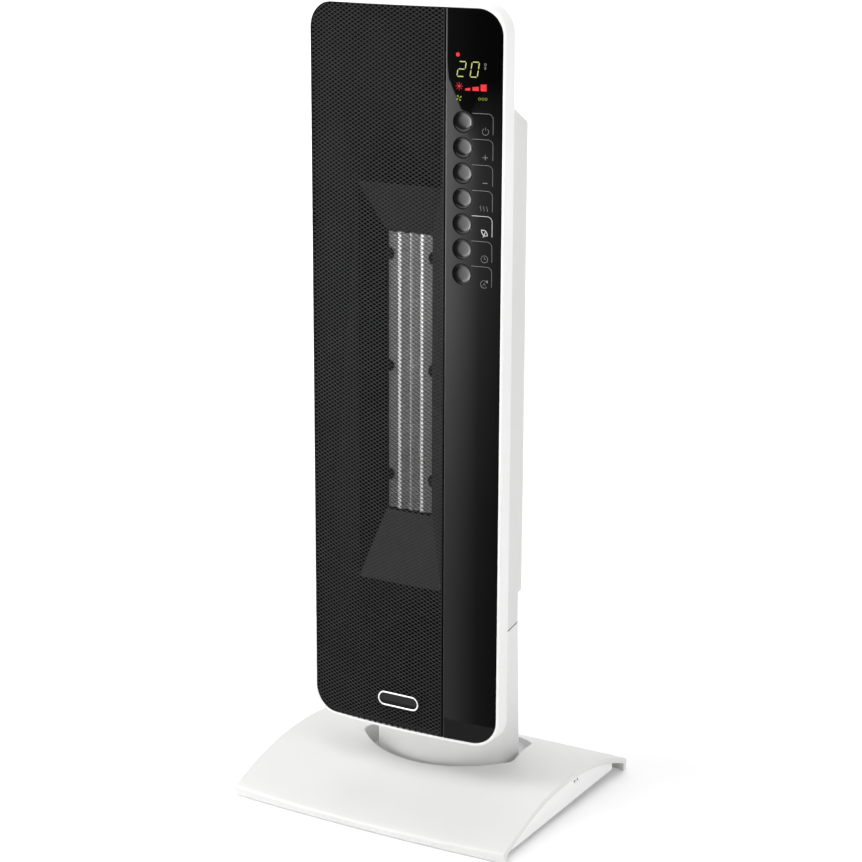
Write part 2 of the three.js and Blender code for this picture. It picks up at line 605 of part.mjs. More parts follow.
// ---- blower ----
function scrollStrip() {
  const points = { inner: [], outer: [] };
  const steps = 16;
  for (let i = 0; i <= steps; i++) {
    const turn = THREE.MathUtils.lerp(SCROLL.from, SCROLL.to, i / steps);
    const angle = THREE.MathUtils.degToRad(turn);
    const radius = THREE.MathUtils.lerp(SCROLL.near, SCROLL.far, i / steps);
    const at = (r) => [DUCT_X + r * Math.cos(angle), ROTOR.y + r * Math.sin(angle)];
    points.inner.unshift(at(radius));
    points.outer.push(at(radius + SCROLL.thick));
  }
  return polygon([...points.outer, ...points.inner]);
}
const endPlate = (z) => {
  const sheet = box(DUCT_X - 40, DUCT_X + 40, HEATER.back + GAP, 51.5, z, z + WALL);
  return sheet.subtract(rod(DUCT_X, ROTOR.y, ROTOR.shaft + 2, z - 1, z + 9, 16));
};
const tongue = polygon([
  [18, -9.8], [20.2, -9.8], [19.4, 0], [17.2, 3.4], [15.8, 2.4], [17.4, -0.6],
]);
const scrollWalls = [scrollStrip(), tongue].map((shape) =>
  alongZ(shape, SCROLL.low + WALL / 2, SCROLL.high),
);
add("fan_scroll", join(endPlate(SCROLL.low), ...scrollWalls), BLACK);
add("scroll_top_plate", endPlate(SCROLL.high + GAP), BLACK);

const rotorDiscs = [0, 1, 2, 3].map((i) => {
  const z = THREE.MathUtils.lerp(ROTOR.low, ROTOR.high - 2, i / 3);
  return rod(DUCT_X, ROTOR.y, ROTOR.radius, z, z + 2, 40);
});
const rotorBlades = Array.from({ length: ROTOR.blades }, (_, i) => {
  const blade = new THREE.BoxGeometry(ROTOR.radius - ROTOR.root, 1, ROTOR.high - ROTOR.low - 1);
  blade.rotateZ(0.5).translate((ROTOR.radius + ROTOR.root) / 2 - 0.4, 0, 0);
  blade.rotateZ((i / ROTOR.blades) * 2 * Math.PI);
  return solid(blade.translate(DUCT_X, ROTOR.y, (ROTOR.high + ROTOR.low) / 2));
});
const rotorBore = rod(DUCT_X, ROTOR.y, ROTOR.shaft + GAP, 0, BIG, 12);
add("fan_rotor", cut(join(...rotorDiscs, ...rotorBlades), rotorBore), BLACK);
add("fan_shaft", rod(DUCT_X, ROTOR.y, ROTOR.shaft, FAN_MOTOR.high - 8, SCROLL.high + 10, 12), STEEL);

const fanMotor = join(
  rod(DUCT_X, ROTOR.y, FAN_MOTOR.radius, FAN_MOTOR.low, FAN_MOTOR.high, 24),
  box(DUCT_X - 38, DUCT_X + 38, ROTOR.y - 6, ROTOR.y + 6, FAN_MOTOR.high - 3, FAN_MOTOR.high),
);
const motorBore = rod(DUCT_X, ROTOR.y, ROTOR.shaft + GAP, FAN_MOTOR.high - 10, BIG, 12);
add("fan_motor", fanMotor.subtract(motorBore), STEEL);
const bearingRing = ring(DUCT_X, ROTOR.y, ROTOR.shaft + GAP, 9);
const bearingLow = SCROLL.high + WALL + 2 * GAP;
add("fan_bearing", alongZ(bearingRing, bearingLow, bearingLow + 5, 6), STEEL);

// ---- power board, in the top of the housing ----
const powerBoard = join(
  box(-60, 60, 0, 1.6, 612, 690),
  box(-50, -30, 1.5, 18, 622, 640),
  box(-20, 0, 1.5, 18, 622, 640),
  box(12, 40, 1.5, 26, 650, 678),
  rodAlongY(30, 632, 7, 1.5, 24, 16),
);
add("power_board", powerBoard, CIRCUIT);

export default heater;
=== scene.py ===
import json
from math import asin, ceil, cos, degrees, hypot, pi, radians, sin, sqrt

import bmesh
import bpy
from mathutils import Matrix, Vector


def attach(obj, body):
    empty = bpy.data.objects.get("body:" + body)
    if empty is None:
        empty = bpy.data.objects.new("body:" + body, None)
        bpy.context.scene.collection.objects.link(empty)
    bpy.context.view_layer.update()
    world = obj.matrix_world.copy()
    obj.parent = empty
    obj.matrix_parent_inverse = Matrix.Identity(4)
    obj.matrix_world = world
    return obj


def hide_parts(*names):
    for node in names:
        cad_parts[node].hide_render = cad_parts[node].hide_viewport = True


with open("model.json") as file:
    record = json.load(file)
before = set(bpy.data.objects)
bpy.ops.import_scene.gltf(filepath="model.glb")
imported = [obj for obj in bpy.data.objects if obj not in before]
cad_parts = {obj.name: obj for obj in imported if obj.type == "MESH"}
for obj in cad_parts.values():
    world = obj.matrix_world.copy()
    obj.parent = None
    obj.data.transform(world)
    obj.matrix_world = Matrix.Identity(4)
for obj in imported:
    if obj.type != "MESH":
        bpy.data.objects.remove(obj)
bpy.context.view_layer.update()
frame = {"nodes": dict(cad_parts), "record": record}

MM = 0.001
MERGE = 1e-6  # vertices closer than this, in metres, become one
TOWER, BASE = "tower", "base"



def configure(thing, **settings):
    for key, value in settings.items():
        setattr(thing, key, value)
    return thing


# ---- materials


class Graph:
    """A material's node tree, with short calls for the nodes that recur."""

    def __init__(self, name):
        self.material = bpy.data.materials.new(name)
        self.material.use_nodes = True
        self.tree = self.material.node_tree
        self.shader = self.tree.nodes["Principled BSDF"]
        self.place = self.add("TexCoord", {}).outputs["Object"]

    def fill(self, node, inputs):
        """Sets a node's inputs, or links them to other nodes' outputs."""
        for socket, value in inputs.items():
            if isinstance(value, bpy.types.NodeSocket):
                self.tree.links.new(value, node.inputs[socket])
            else:
                node.inputs[socket].default_value = value

    def add(self, kind, inputs, **settings):
        node = configure(self.tree.nodes.new("ShaderNode" + kind), **settings)
        self.fill(node, inputs)
        return node

    def noise(self, scale, detail=3.0, roughness=0.5, vector=None):
        return self.add("TexNoise", {"Scale": scale, "Detail": detail, "Roughness": roughness,
                                     "Vector": vector or self.place}).outputs["Fac"]

    def math(self, operation, a, b):
        return self.add("Math", {0: a, 1: b}, operation=operation).outputs["Value"]

    def axis(self, letter):
        return self.add("SeparateXYZ", {"Vector": self.place}).outputs[letter]

    def ramp(self, source, *stops):
        """A colour ramp. A stop is its place and a grey, or its place and a colour."""
        node = self.add("ValToRGB", {"Fac": source})
        elements = node.color_ramp.elements
        while len(elements) < len(stops):
            elements.new(0.5)
        for element, (place, color) in zip(elements, stops):
            element.position = place
            element.color = (*color, 1.0) if isinstance(color, tuple) else (color,) * 3 + (1.0,)
        return node.outputs["Color"]

    def span(self, source, low, high, start=0.0, end=1.0, **settings):
        """Carries a source between start and end to a value between low and high."""
        return self.add("MapRange", {"Value": source, "From Min": start, "From Max": end,
                                     "To Min": low, "To Max": high}, **settings).outputs["Result"]

    def bump(self, height, strength, distance, below=None):
        inputs = {"Strength": strength, "Distance": distance, "Height": height}
        if below is not None:
            inputs["Normal"] = below
        return self.add("Bump", inputs).outputs["Normal"]

    def surface(self, inputs):
        """Fills the shader's inputs and returns the material."""
        self.fill(self.shader, inputs)
        return self.material


def plastic(name, dark, light, rough, grain, grain_scale=2600.0, specular=0.5):
    """Moulded plastic: faint cloudiness in colour and gloss over a fine spark-eroded grain."""
    g = Graph(name)
    ripple = g.bump(g.noise(14.0, 2.0), 0.05, 0.0006)
    return g.surface({
        "Base Color": g.ramp(g.noise(9.0, 4.0), (0.3, dark), (0.7, light)),
        "Roughness": g.span(g.noise(60.0, 5.0, 0.6), *rough),
        "Normal": g.bump(g.noise(grain_scale, 2.0), grain, 0.00012, ripple),
        "Specular IOR Level": specular})


def metal(name, dark, light, rough, stretch, metallic=1.0):
    """Bare metal with fine drawn or rolled lines."""
    g = Graph(name)
    stretched = g.add("Mapping", {"Scale": stretch, "Vector": g.place}).outputs["Vector"]
    lines = g.noise(500.0, 4.0, 0.6, stretched)
    return g.surface({
        "Base Color": g.ramp(g.noise(24.0, 4.0), (0.3, dark), (0.7, light)),
        "Roughness": g.span(lines, *rough),
        "Normal": g.bump(lines, 0.06, 0.0001),
        "Metallic": metallic})


def enamel(name, dark, light, rough, specular=0.4):
    """Painted sheet metal: orange peel and slight wear of colour."""
    g = Graph(name)
    return g.surface({
        "Base Color": g.ramp(g.noise(30.0, 5.0), (0.3, dark), (0.7, light)),
        "Roughness": g.span(g.noise(300.0, 3.0), *rough),
        "Normal": g.bump(g.noise(1500.0, 2.0), 0.08, 0.0001),
        "Specular IOR Level": specular})


def glow(name, color, strength):
    """A lit figure behind the clear strip."""
    g = Graph(name)
    dimmed = lambda share: tuple(c * share for c in color)
    return g.surface({
        "Base Color": g.ramp(g.noise(200.0), (0.2, dimmed(0.25)), (0.8, dimmed(0.2))),
        "Emission Color": g.ramp(g.noise(200.0), (0.2, color), (0.8, dimmed(0.85))),
        "Emission Strength": strength,
        "Specular IOR Level": 0.1,
        "Roughness": 0.4})


def circuit_board():
    g = Graph("solder_mask_green")
    turned = g.add("Mapping", {"Rotation": (pi / 2, 0.0, 0.0), "Vector": g.place})
    tracks = g.add("TexBrick", {
        "Vector": turned.outputs["Vector"], "Scale": 180.0, "Color1": (0.012, 0.10, 0.035, 1.0),
        "Color2": (0.016, 0.12, 0.045, 1.0), "Mortar": (0.03, 0.20, 0.08, 1.0)})
    return g.surface({
        "Base Color": tracks.outputs["Color"],
        "Roughness": g.span(g.noise(400.0), 0.3, 0.45),
        "Normal": g.bump(tracks.outputs["Fac"], 0.2, 0.0001)})


def woven_screen():
    """Dust screen of two sets of fine threads."""
    g = Graph("woven_screen")
    threads = [g.add("TexWave", {"Scale": 140.0, "Vector": g.place}, wave_type="BANDS",
                     bands_direction=direction).outputs["Fac"] for direction in "XZ"]
    weave = g.math("MAXIMUM", *threads)
    return g.surface({
        "Base Color": g.ramp(weave, (0.45, 0.01), (0.85, 0.12)),
        "Normal": g.bump(weave, 0.8, 0.0004),
        "Roughness": g.span(g.noise(300.0), 0.6, 0.75)})


def painted_highlight_edge():
    """Clear edge of the strip with a painted highlight: its colour is bright in the upper part and dark
    lower down.
    """
    g = Graph("clear_strip_edge_painted_highlight")
    return g.surface({
        "Base Color": g.ramp(g.axis("Z"), (0.40, 0.008), (0.56, 0.05), (0.78, 0.045)),
        "Roughness": g.span(g.noise(200.0), 0.2, 0.3)})


def white(value):
    return (value, value, value - 0.005)


FINE, WIDE = (0.42, 0.5), (0.5, 0.6)  # roughness of fine grained and of duller mouldings
# Copies of one white plastic, toned per part as painted light and shade: the end panels painted lighter;
# the housing with its intake cover, the base and the stand painted darker than the shell. The fine grain on
# the housing and stand is real.
WHITE = plastic("white_shell", white(0.80), white(0.83), (0.32, 0.40), 0.05)
WHITE_FINE_GRAIN_PAINTED_SHADE = plastic("white_fine_grain_painted_shade", white(0.66), white(0.69), FINE, 0.16, 1900.0)
END_WHITE_PAINTED_LIGHT = plastic("white_end_panel_painted_light", white(0.86), white(0.89), (0.34, 0.42), 0.06)
BASE_WHITE_PAINTED_SHADE = plastic("white_base_painted_shade", white(0.695), white(0.725), (0.34, 0.42), 0.06)
STAND_WHITE_PAINTED_SHADE = plastic("white_stand_painted_shade", white(0.735), white(0.765), FINE, 0.16, 1900.0)
# The recess cup's white is darker still: painted shade in the recess.
SHADED_WHITE = plastic("white_recess_painted_shade", 0.66, 0.70, (0.4, 0.5), 0.1)
BLACK = plastic("black_moulding", 0.009, 0.013, (0.42, 0.55), 0.15, 1800.0, 0.3)
# Four copies of one black moulding for the air path, toned for painted light and shade: the two darkest are
# painted shade, the two lighter ones painted light.
BLACK_PAINTED_SHADE = plastic("funnel_painted_shade", 0.0018, 0.0024, WIDE, 0.12, 1800.0, 0.03)
PLATE_BLACK_PAINTED_SHADE = plastic("funnel_plate_painted_shade", 0.0030, 0.0042, (0.6, 0.7), 0.12, 1800.0, 0.02)
FUNNEL_BLACK_PAINTED_LIGHT = plastic("funnel_painted_light", 0.013, 0.017, WIDE, 0.12, 1800.0, 0.06)
FUNNEL_PAINTED_STRONG_LIGHT = plastic("funnel_floor_painted_light", 0.036, 0.042, WIDE, 0.12, 1800.0, 0.06)
GLOSS = plastic("gloss_black_strip", 0.0010, 0.0016, (0.012, 0.02), 0.004, 3000.0, 0.15)
KEY = plastic("black_key", 0.006, 0.008, (0.15, 0.20), 0.03, 2600.0, 0.32)
GREY = plastic("grey_moulding", 0.24, 0.28, WIDE, 0.12)
RUBBER = plastic("black_rubber", 0.016, 0.026, (0.75, 0.9), 0.3, 1400.0)
MESH = enamel("dark_expanded_metal", (0.048, 0.0483, 0.0486), (0.056, 0.0563, 0.0566), (0.36, 0.46), 0.03)
# The sheet's folded edge in a much darker copy of the grille's paint: painted shade beside the strip.
RIM = enamel("folded_rim_painted_shade", 0.006, 0.010, (0.4, 0.5), 0.1)
PRINT = enamel("printed_grey", 0.10, 0.12, (0.4, 0.5))
PRINT_BRIGHT = enamel("printed_white", 0.55, 0.62, (0.4, 0.5))
STEEL = metal("drawn_steel", 0.52, 0.62, (0.28, 0.42), (1.0, 1.0, 0.08))
FIN = metal("corrugated_fin", 0.30, 0.38, (0.35, 0.5), (1.0, 0.1, 1.0), 0.5)
ALUMINIUM = metal("aluminium_fin", 0.60, 0.68, (0.42, 0.55), (1.0, 0.1, 1.0), 0.35)
BADGE_METAL = metal("satin_badge", 0.6, 0.7, (0.22, 0.32), (0.06, 1.0, 1.0))
RED = glow("lit_red", (1.0, 0.03, 0.045), 0.72)
LIME = glow("lit_lime", (0.62, 0.68, 0.22), 0.75)
GREEN = glow("lit_green", (0.40, 0.50, 0.04), 0.55)
CIRCUIT, EDGE_PAINTED_HIGHLIGHT, SCREEN = circuit_board(), painted_highlight_edge(), woven_screen()
CAD_MATERIALS = {
    "white_plastic": WHITE, "black_plastic": BLACK, "gloss_black": GLOSS, "grey_plastic": GREY,
    "rubber": RUBBER, "dark_mesh": MESH, "steel": STEEL, "aluminium": ALUMINIUM,
    "circuit_board": CIRCUIT,
}
for entry in frame["record"]["subparts"]:
    node = frame["nodes"][entry["node"]]
    if not node.material_slots:
        node.data.materials.append(None)
    for material_slot in node.material_slots:
        material_slot.material = CAD_MATERIALS[entry["material_slot"]]
frame["nodes"]["filter_mesh"].material_slots[0].material = SCREEN

# ---- outlines, in mm


def arc(cx, cy, r, a0, a1, steps):
    angles = [radians(a0 + (a1 - a0) * i / steps) for i in range(steps + 1)]
    return [(cx + r * cos(a), cy + r * sin(a)) for a in angles]


def circle(x, y, r, sides):
    return arc(x, y, r, 0, 360, sides)[:-1]


def quadratic(a, b, c, steps):
    """A curve from a to c that leans towards b."""
    return [tuple((1 - t) ** 2 * p + 2 * t * (1 - t) * q + t * t * s for p, q, s in zip(a, b, c))
            for t in (k / steps for k in range(steps + 1))]


def divided(points, longest):
    """A closed outline with its long straight runs divided."""
    result = []
    for (ax, ay), (bx, by) in zip(points, points[1:] + points[:1]):
        count = max(1, ceil(hypot(bx - ax, by - ay) / longest))
        result += [(ax + (bx - ax) * i / count, ay + (by - ay) * i / count) for i in range(count)]
    return result


def rectangle(x0, x1, y0, y1):
    return [(x0, y0), (x1, y0), (x1, y1), (x0, y1)]


def round_rect(x0, x1, y0, y1, r, steps=10):
    corners = rectangle(x0 + r, x1 - r, y0 + r, y1 - r)
    return [p for k, (x, y) in enumerate(corners[1:] + corners[:1])
            for p in arc(x, y, r, 90 * k - 90, 90 * k, steps)]


def shrink(edges, inset):
    x0, x1, y0, y1 = edges
    return x0 + inset, x1 - inset, y0 + inset, y1 - inset


def mirrored(points):
    return [(-x, y) for x, y in reversed(points)]


# ---- mesh tools


def mm(*place):
    return Vector(place) * MM


def add_face(bm, corners):
    """A face, unless its corners lie on fewer than three places."""
    if len({v.co.to_tuple(7) for v in corners}) >= 3:
        bm.faces.new(corners)


def add_grid(bm, rows, close_rows=False, close_columns=False):
    """Quads between rows of points given in millimetres. Returns the rows of vertices."""
    made = [[bm.verts.new(mm(*p)) for p in row] for row in rows]
    count = len(made)
    for i in range(count if close_rows else count - 1):
        low, high = made[i], made[(i + 1) % count]
        for j in range(len(low) if close_columns else len(low) - 1):
            k = (j + 1) % len(low)
            add_face(bm, [low[j], low[k], high[k], high[j]])
    return made


def ring_solid(rows):
    """A solid whose rows of points close both ways."""
    bm = bmesh.new()
    add_grid(bm, rows, close_rows=True, close_columns=True)
    return bm


def capped_solid(rows):
    """A solid from closed rows of points, with the first and last rows filled."""
    bm = bmesh.new()
    made = add_grid(bm, rows, close_columns=True)
    bm.faces.new(made[0])
    bm.faces.new(made[-1][::-1])
    return bm


def tidy(bm):
    bmesh.ops.remove_doubles(bm, verts=bm.verts, dist=MERGE)
    bmesh.ops.dissolve_degenerate(bm, edges=bm.edges, dist=MERGE)
    bmesh.ops.recalc_face_normals(bm, faces=bm.faces)


def add_object(name, data):
    obj = bpy.data.objects.new(name, data)
    bpy.context.collection.objects.link(obj)
    return obj


def mesh_object(name, bm, *materials):
    """An object made from bm, which is freed."""
    mesh = bpy.data.meshes.new(name)
    bm.to_mesh(mesh)
    bm.free()
    for material in materials:
        mesh.materials.append(material)
    return add_object(name, mesh)


def remove_object(obj):
    holder, data = bpy.data.meshes if obj.type == "MESH" else bpy.data.curves, obj.data
    bpy.data.objects.remove(obj)
    holder.remove(data)


def take_bmesh(obj):
    """The shape of an object after its modifiers. The object is removed."""
    graph = bpy.context.evaluated_depsgraph_get()
    mesh = bpy.data.meshes.new_from_object(obj.evaluated_get(graph))
    bm = bmesh.new()
    bm.from_mesh(mesh)
    bpy.data.meshes.remove(mesh)
    remove_object(obj)
    return bm


def piece(name, bm, material, replaces=(), body=TOWER, sharp=32.0, weighted=True, others=(),
          choose=None):
    """Turns a bmesh in metres into a named piece that rides on a body. choose gives a face's place
    in the list of material and others."""
    tidy(bm)
    for face in bm.faces:
        face.smooth = True
        if choose:
            face.material_index = choose(face.normal)
    for edge in bm.edges:
        edge.smooth = edge.calc_face_angle(0.0) < radians(sharp)
    obj = mesh_object(name, bm, material, *others)
    if weighted:
        obj.modifiers.new("weighted", "WEIGHTED_NORMAL").keep_sharp = True
    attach(obj, body)
    if replaces:
        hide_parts(*replaces)


def put(bm, place, *turns):
    """Turns bm about its origin, the last turn first, and moves it to a place in mm."""
    matrix = Matrix.Translation(mm(*place))
    for angle, axis in turns:
        matrix = matrix @ Matrix.Rotation(angle, 4, axis)
    bm.transform(matrix)
    return bm


def flat_plate(loops, thickness, bevel=0.0, steps=3):
    """A plate in local X and Y, mid-plane at zero, its edges rounded, from outlines in mm."""
    curve = configure(bpy.data.curves.new("outline", "CURVE"), dimensions="2D", fill_mode="BOTH",
                      extrude=(thickness / 2 - bevel) * MM, bevel_depth=bevel * MM,
                      bevel_resolution=steps, offset=-bevel * MM)
    for loop in loops:
        spline = curve.splines.new("POLY")
        spline.points.add(len(loop) - 1)
        for point, (x, y) in zip(spline.points, loop):
            point.co = (x * MM, y * MM, 0.0, 1.0)
        spline.use_cyclic_u = True
    bm = take_bmesh(add_object("outline", curve))
    bmesh.ops.remove_doubles(bm, verts=bm.verts, dist=MERGE)
    return bm


def upright(loops, front, back, bevel=0.0, steps=3):
    """A plate in X and Z between two depths."""
    bm = flat_plate(loops, back - front, bevel, steps)
    return put(bm, (0, (front + back) / 2, 0), (pi / 2, "X"))


def lying(loops, low, high, bevel=0.0, steps=3):
    """A plate in X and Y between two heights."""
    return put(flat_plate(loops, high - low, bevel, steps), (0, 0, (low + high) / 2))


def merge(target, source):
    """Adds source's geometry to target and frees source."""
    mesh = bpy.data.meshes.new("part")
    source.to_mesh(mesh)
    source.free()
    target.from_mesh(mesh)
    bpy.data.meshes.remove(mesh)


def boolean(bm, tool, operation="DIFFERENCE"):
    """What the operation makes of two closed solids, which are freed."""
    for source in (bm, tool):
        bmesh.ops.recalc_face_normals(source, faces=source.faces)
    obj, cutter = mesh_object("operand", bm), mesh_object("operand", tool)
    configure(obj.modifiers.new("cut", "BOOLEAN"), operation=operation, solver="EXACT", object=cutter)
    result = take_bmesh(obj)
    remove_object(cutter)
    return result


def bevel_sharp(bm, offset, angle, segments, keep=None):
    """Rounds the edges sharper than an angle."""
    limit = radians(angle)
    bmesh.ops.remove_doubles(bm, verts=bm.verts, dist=MERGE)
    bmesh.ops.dissolve_limit(bm, angle_limit=0.002, verts=bm.verts, edges=bm.edges)
    edges = [e for e in bm.edges
             if len(e.link_faces) == 2 and e.calc_face_angle(0.0) > limit and (not keep or keep(e))]
    bmesh.ops.bevel(bm, geom=edges, offset=offset * MM, segments=segments, profile=0.5,
                    affect="EDGES", clamp_overlap=True)


def box(x0, x1, y0, y1, z0, z1):
    bm = bmesh.new()
    bmesh.ops.create_cube(bm, size=1.0)
    bm.transform(Matrix.Diagonal((*mm(x1 - x0, y1 - y0, z1 - z0), 1.0)))
    return put(bm, ((x0 + x1) / 2, (y0 + y1) / 2, (z0 + z1) / 2))


def lathe(profile, sides, hollow=False):
    """A turned solid on local Z, from profile points (radius, height) in mm."""
    bm = bmesh.new()
    rows = [[(x, y, h) for x, y in circle(0, 0, r, sides)] for r, h in profile]
    add_grid(bm, rows, close_rows=hollow, close_columns=True)
    tidy(bm)
    return bm


def sideways(profile, x0, x1):
    """A closed profile in Y and Z carried along X."""
    return capped_solid([[(x, y, z) for y, z in profile] for x in (x0, x1)])


# ---- front frame

FRAME_HALF, FRAME_LOW, FRAME_HIGH, FRAME_R = 107.7, 79.3, 800.0, 28.0
FACE_HALF, FACE_LOW, FACE_HIGH, FACE_R = 104.5, 82.7, 795.3, 25.0
FRAME_BACK = -38.2
TRAY_BACK = FRAME_BACK - 3.0
TOP_TRIM = 1.5  # how much wider the white trim is along the top
BULGE_R, BULGE_Y = 729.0, 666.1


def front_y(x, depth=0.0):
    """Depth of the bulged front at x, depth mm below its surface."""
    return BULGE_Y - sqrt((BULGE_R - depth) ** 2 - x * x)


def bend(bm, step=4.0):
    """Cuts a flat-fronted mesh into narrow columns and lays it on the bulged front."""
    xs = [v.co.x / MM for v in bm.verts]
    x = ceil(min(xs) / step) * step
    while x < max(xs):
        bmesh.ops.bisect_plane(bm, geom=bm.verts[:] + bm.edges[:] + bm.faces[:], dist=1e-7,
                               plane_co=mm(x, 0, 0), plane_no=(1, 0, 0))
        x += step
    for v in bm.verts:
        v.co.y += front_y(v.co.x / MM) * MM
    return bm


def face_outline(inset):
    edges = shrink((-FACE_HALF, FACE_HALF, FACE_LOW, FACE_HIGH), inset)
    return round_rect(*edges, FACE_R - inset, 12)


def build_front_frame():
    """White tray: side wall, thin trim round the black face, and a flat back."""
    middle_x, middle_low, middle_high = FRAME_HALF - FRAME_R, FRAME_LOW + FRAME_R, FRAME_HIGH - FRAME_R
    outline = divided(round_rect(-FRAME_HALF, FRAME_HALF, FRAME_LOW, FRAME_HIGH, FRAME_R, 14), 8.0)

    def ring_at(inset, depth_of):
        ring = []
        for x, z in outline:
            away = Vector((x - max(-middle_x, min(middle_x, x)),
                           z - max(middle_low, min(middle_high, z)))).normalized()
            wide = inset + TOP_TRIM * max(away.y, 0.0) * (1.3 < inset < 4.0)
            px, pz = x - away.x * wide, z - away.y * wide
            ring.append((px, depth_of(px), pz))
        return ring

    front = lambda d: (lambda x: front_y(x) + d)
    flat = lambda y: (lambda x: y)
    path = [
        (0.6, flat(FRAME_BACK)), (0.15, flat(FRAME_BACK - 0.15)), (0.0, flat(FRAME_BACK - 0.6)),
        (0.0, front(1.6)), (0.1, front(0.95)), (0.35, front(0.42)), (0.8, front(0.1)),
        (1.3, front(0.0)), (2.75, front(0.0)), (2.95, front(0.06)), (3.05, front(0.3)),
        (3.05, flat(TRAY_BACK)), (14.0, flat(TRAY_BACK)), (14.0, flat(FRAME_BACK)),
    ]
    bm = ring_solid([ring_at(inset, depth) for inset, depth in path])
    merge(bm, upright([round_rect(-94.2, 94.2, 92.8, 786.5, 15.0),
                            round_rect(-64, 64, 202, 698, 6)], TRAY_BACK + 0.1, FRAME_BACK - 0.05))
    piece("front_frame_shell", bm, WHITE, ["front_frame"], sharp=40)


# ---- grille

GRILLE_RIGHT, STRIP_LEFT = 46.9, 49.0
CELL_X, CELL_Z = 6.8, 3.95
STRAND = 0.29  # half the width of a strand, across it
GRILLE_DEPTH = 0.4
TUCK = 1.6  # how far the sheet's edge runs into the groove of the frame
PANELS = 4  # the sheet is made of this many meshes


def clamp_to_grille(x, z):
    """The nearest place inside the grille's sheet."""
    left, low, high, r = -FACE_HALF - TUCK, FACE_LOW - TUCK, FACE_HIGH + TUCK, FACE_R + TUCK
    x, z = min(max(x, left), GRILLE_RIGHT - 0.9), min(max(z, low), high)
    cx = left + r
    for cz, side in ((low + r, -1), (high - r, 1)):
        if x < cx and (z - cz) * side > 0:
            away = Vector((x - cx, z - cz))
            if away.length > r:
                away *= r / away.length
                x, z = cx + away.x, cz + away.y
    return x, z


def build_grille(name, low_row, high_row):
    """Expanded metal: diamond holes between strands that are ridged along their middle."""
    half_x, half_z = CELL_X / 2, CELL_Z / 2
    shrunk = 1.0 - STRAND * hypot(half_x, half_z) / (half_x * half_z)
    bm = bmesh.new()
    known = {}

    def vertex(place, depth):
        x, z = clamp_to_grille(*place)
        key = (round(x, 3), round(z, 3), round(depth, 3))
        if key not in known:
            known[key] = bm.verts.new(mm(x, front_y(x, GRILLE_DEPTH) + depth, z))
        return known[key]

    columns = range(int(-FACE_HALF / half_x) - 2, int(GRILLE_RIGHT / half_x) + 3)
    for row in range(low_row, high_row):
        for column in columns:
            if (row + column) % 2:
                continue
            x, z = column * half_x, FACE_LOW + row * half_z
            tips, hole = [[(x + dx * half_x * size, z + dz * half_z * size)
                           for dx, dz in ((1, 0), (0, 1), (-1, 0), (0, -1))] for size in (1.0, shrunk)]
            if not any(clamp_to_grille(*place) == place for place in tips + [(x, z)]):
                continue
            for i in range(4):
                k = (i + 1) % 4
                path = [(tips, 0.0), (hole, 0.38), (hole, 0.85), (tips, 1.0)]
                pairs = [(vertex(ends[i], depth), vertex(ends[k], depth)) for ends, depth in path]
                for (a, b), (c, d) in zip(pairs, pairs[1:]):
                    corners = list(dict.fromkeys((a, b, d, c)))
                    if len(corners) >= 3 and not bm.faces.get(corners):
                        bm.faces.new(corners)
    piece(name, bm, MESH, ["front_grille"], sharp=180, weighted=False)


def build_grille_panels():
    first, rows = -2, int((FACE_HIGH - FACE_LOW) / (CELL_Z / 2)) + 5
    for part in range(PANELS):
        build_grille("grille_mesh_%d" % (part + 1), first + part * rows // PANELS,
                     first + (part + 1) * rows // PANELS)


def build_grille_rim():
    """Folded edge of the sheet beside the strip."""
    bar = rectangle(GRILLE_RIGHT - 1.9, GRILLE_RIGHT, FACE_LOW + 0.1, FACE_HIGH - 0.1)
    bm = bend(upright([bar], GRILLE_DEPTH - 0.1, GRILLE_DEPTH + 1.6, 0.3, 2))
    piece("grille_rim", bm, RIM)


# ---- control strip

BUTTON_X, BUTTON_TOP, BUTTON_PITCH, BUTTONS = 65.7, 692.0, 23.67, 7
RISE = 0.02  # how far the marks stand out of the strip
LINE = 0.48  # width of the pen that draws most of them
PRINTED, BRIGHT, LIT_RED, LIT_LIME, LIT_GREEN = [], [], [], [], []


def button_z(i):
    return BUTTON_TOP - i * BUTTON_PITCH


def build_strip():
    """Clear-faced black strip with rounded bores for the buttons."""
    side = sorted((p for p in face_outline(0.1) if p[0] >= STRIP_LEFT + 1), key=lambda p: p[1])
    outline = [(STRIP_LEFT, FACE_LOW + 0.1)] + side + [(STRIP_LEFT, FACE_HIGH - 0.1)]
    bores = [circle(BUTTON_X, button_z(i), 9.65, 47) for i in range(BUTTONS)]
    bm = bend(upright([outline] + bores, 0.0, 2.6, 0.55, 4), 3.0)
    piece("control_strip", bm, GLOSS, ["control_panel"], sharp=60)


def build_strip_edge():
    """Bevelled edge of the clear facing beside the grille, its bright line a highlight painted into its
    material.
    """
    outline = rectangle(STRIP_LEFT - 0.95, STRIP_LEFT - 0.05, FACE_LOW + 0.6, FACE_HIGH - 0.6)
    bm = bend(upright([outline], 0.35, 2.4, 0.3, 3))
    piece("control_strip_edge", bm, EDGE_PAINTED_HIGHLIGHT)


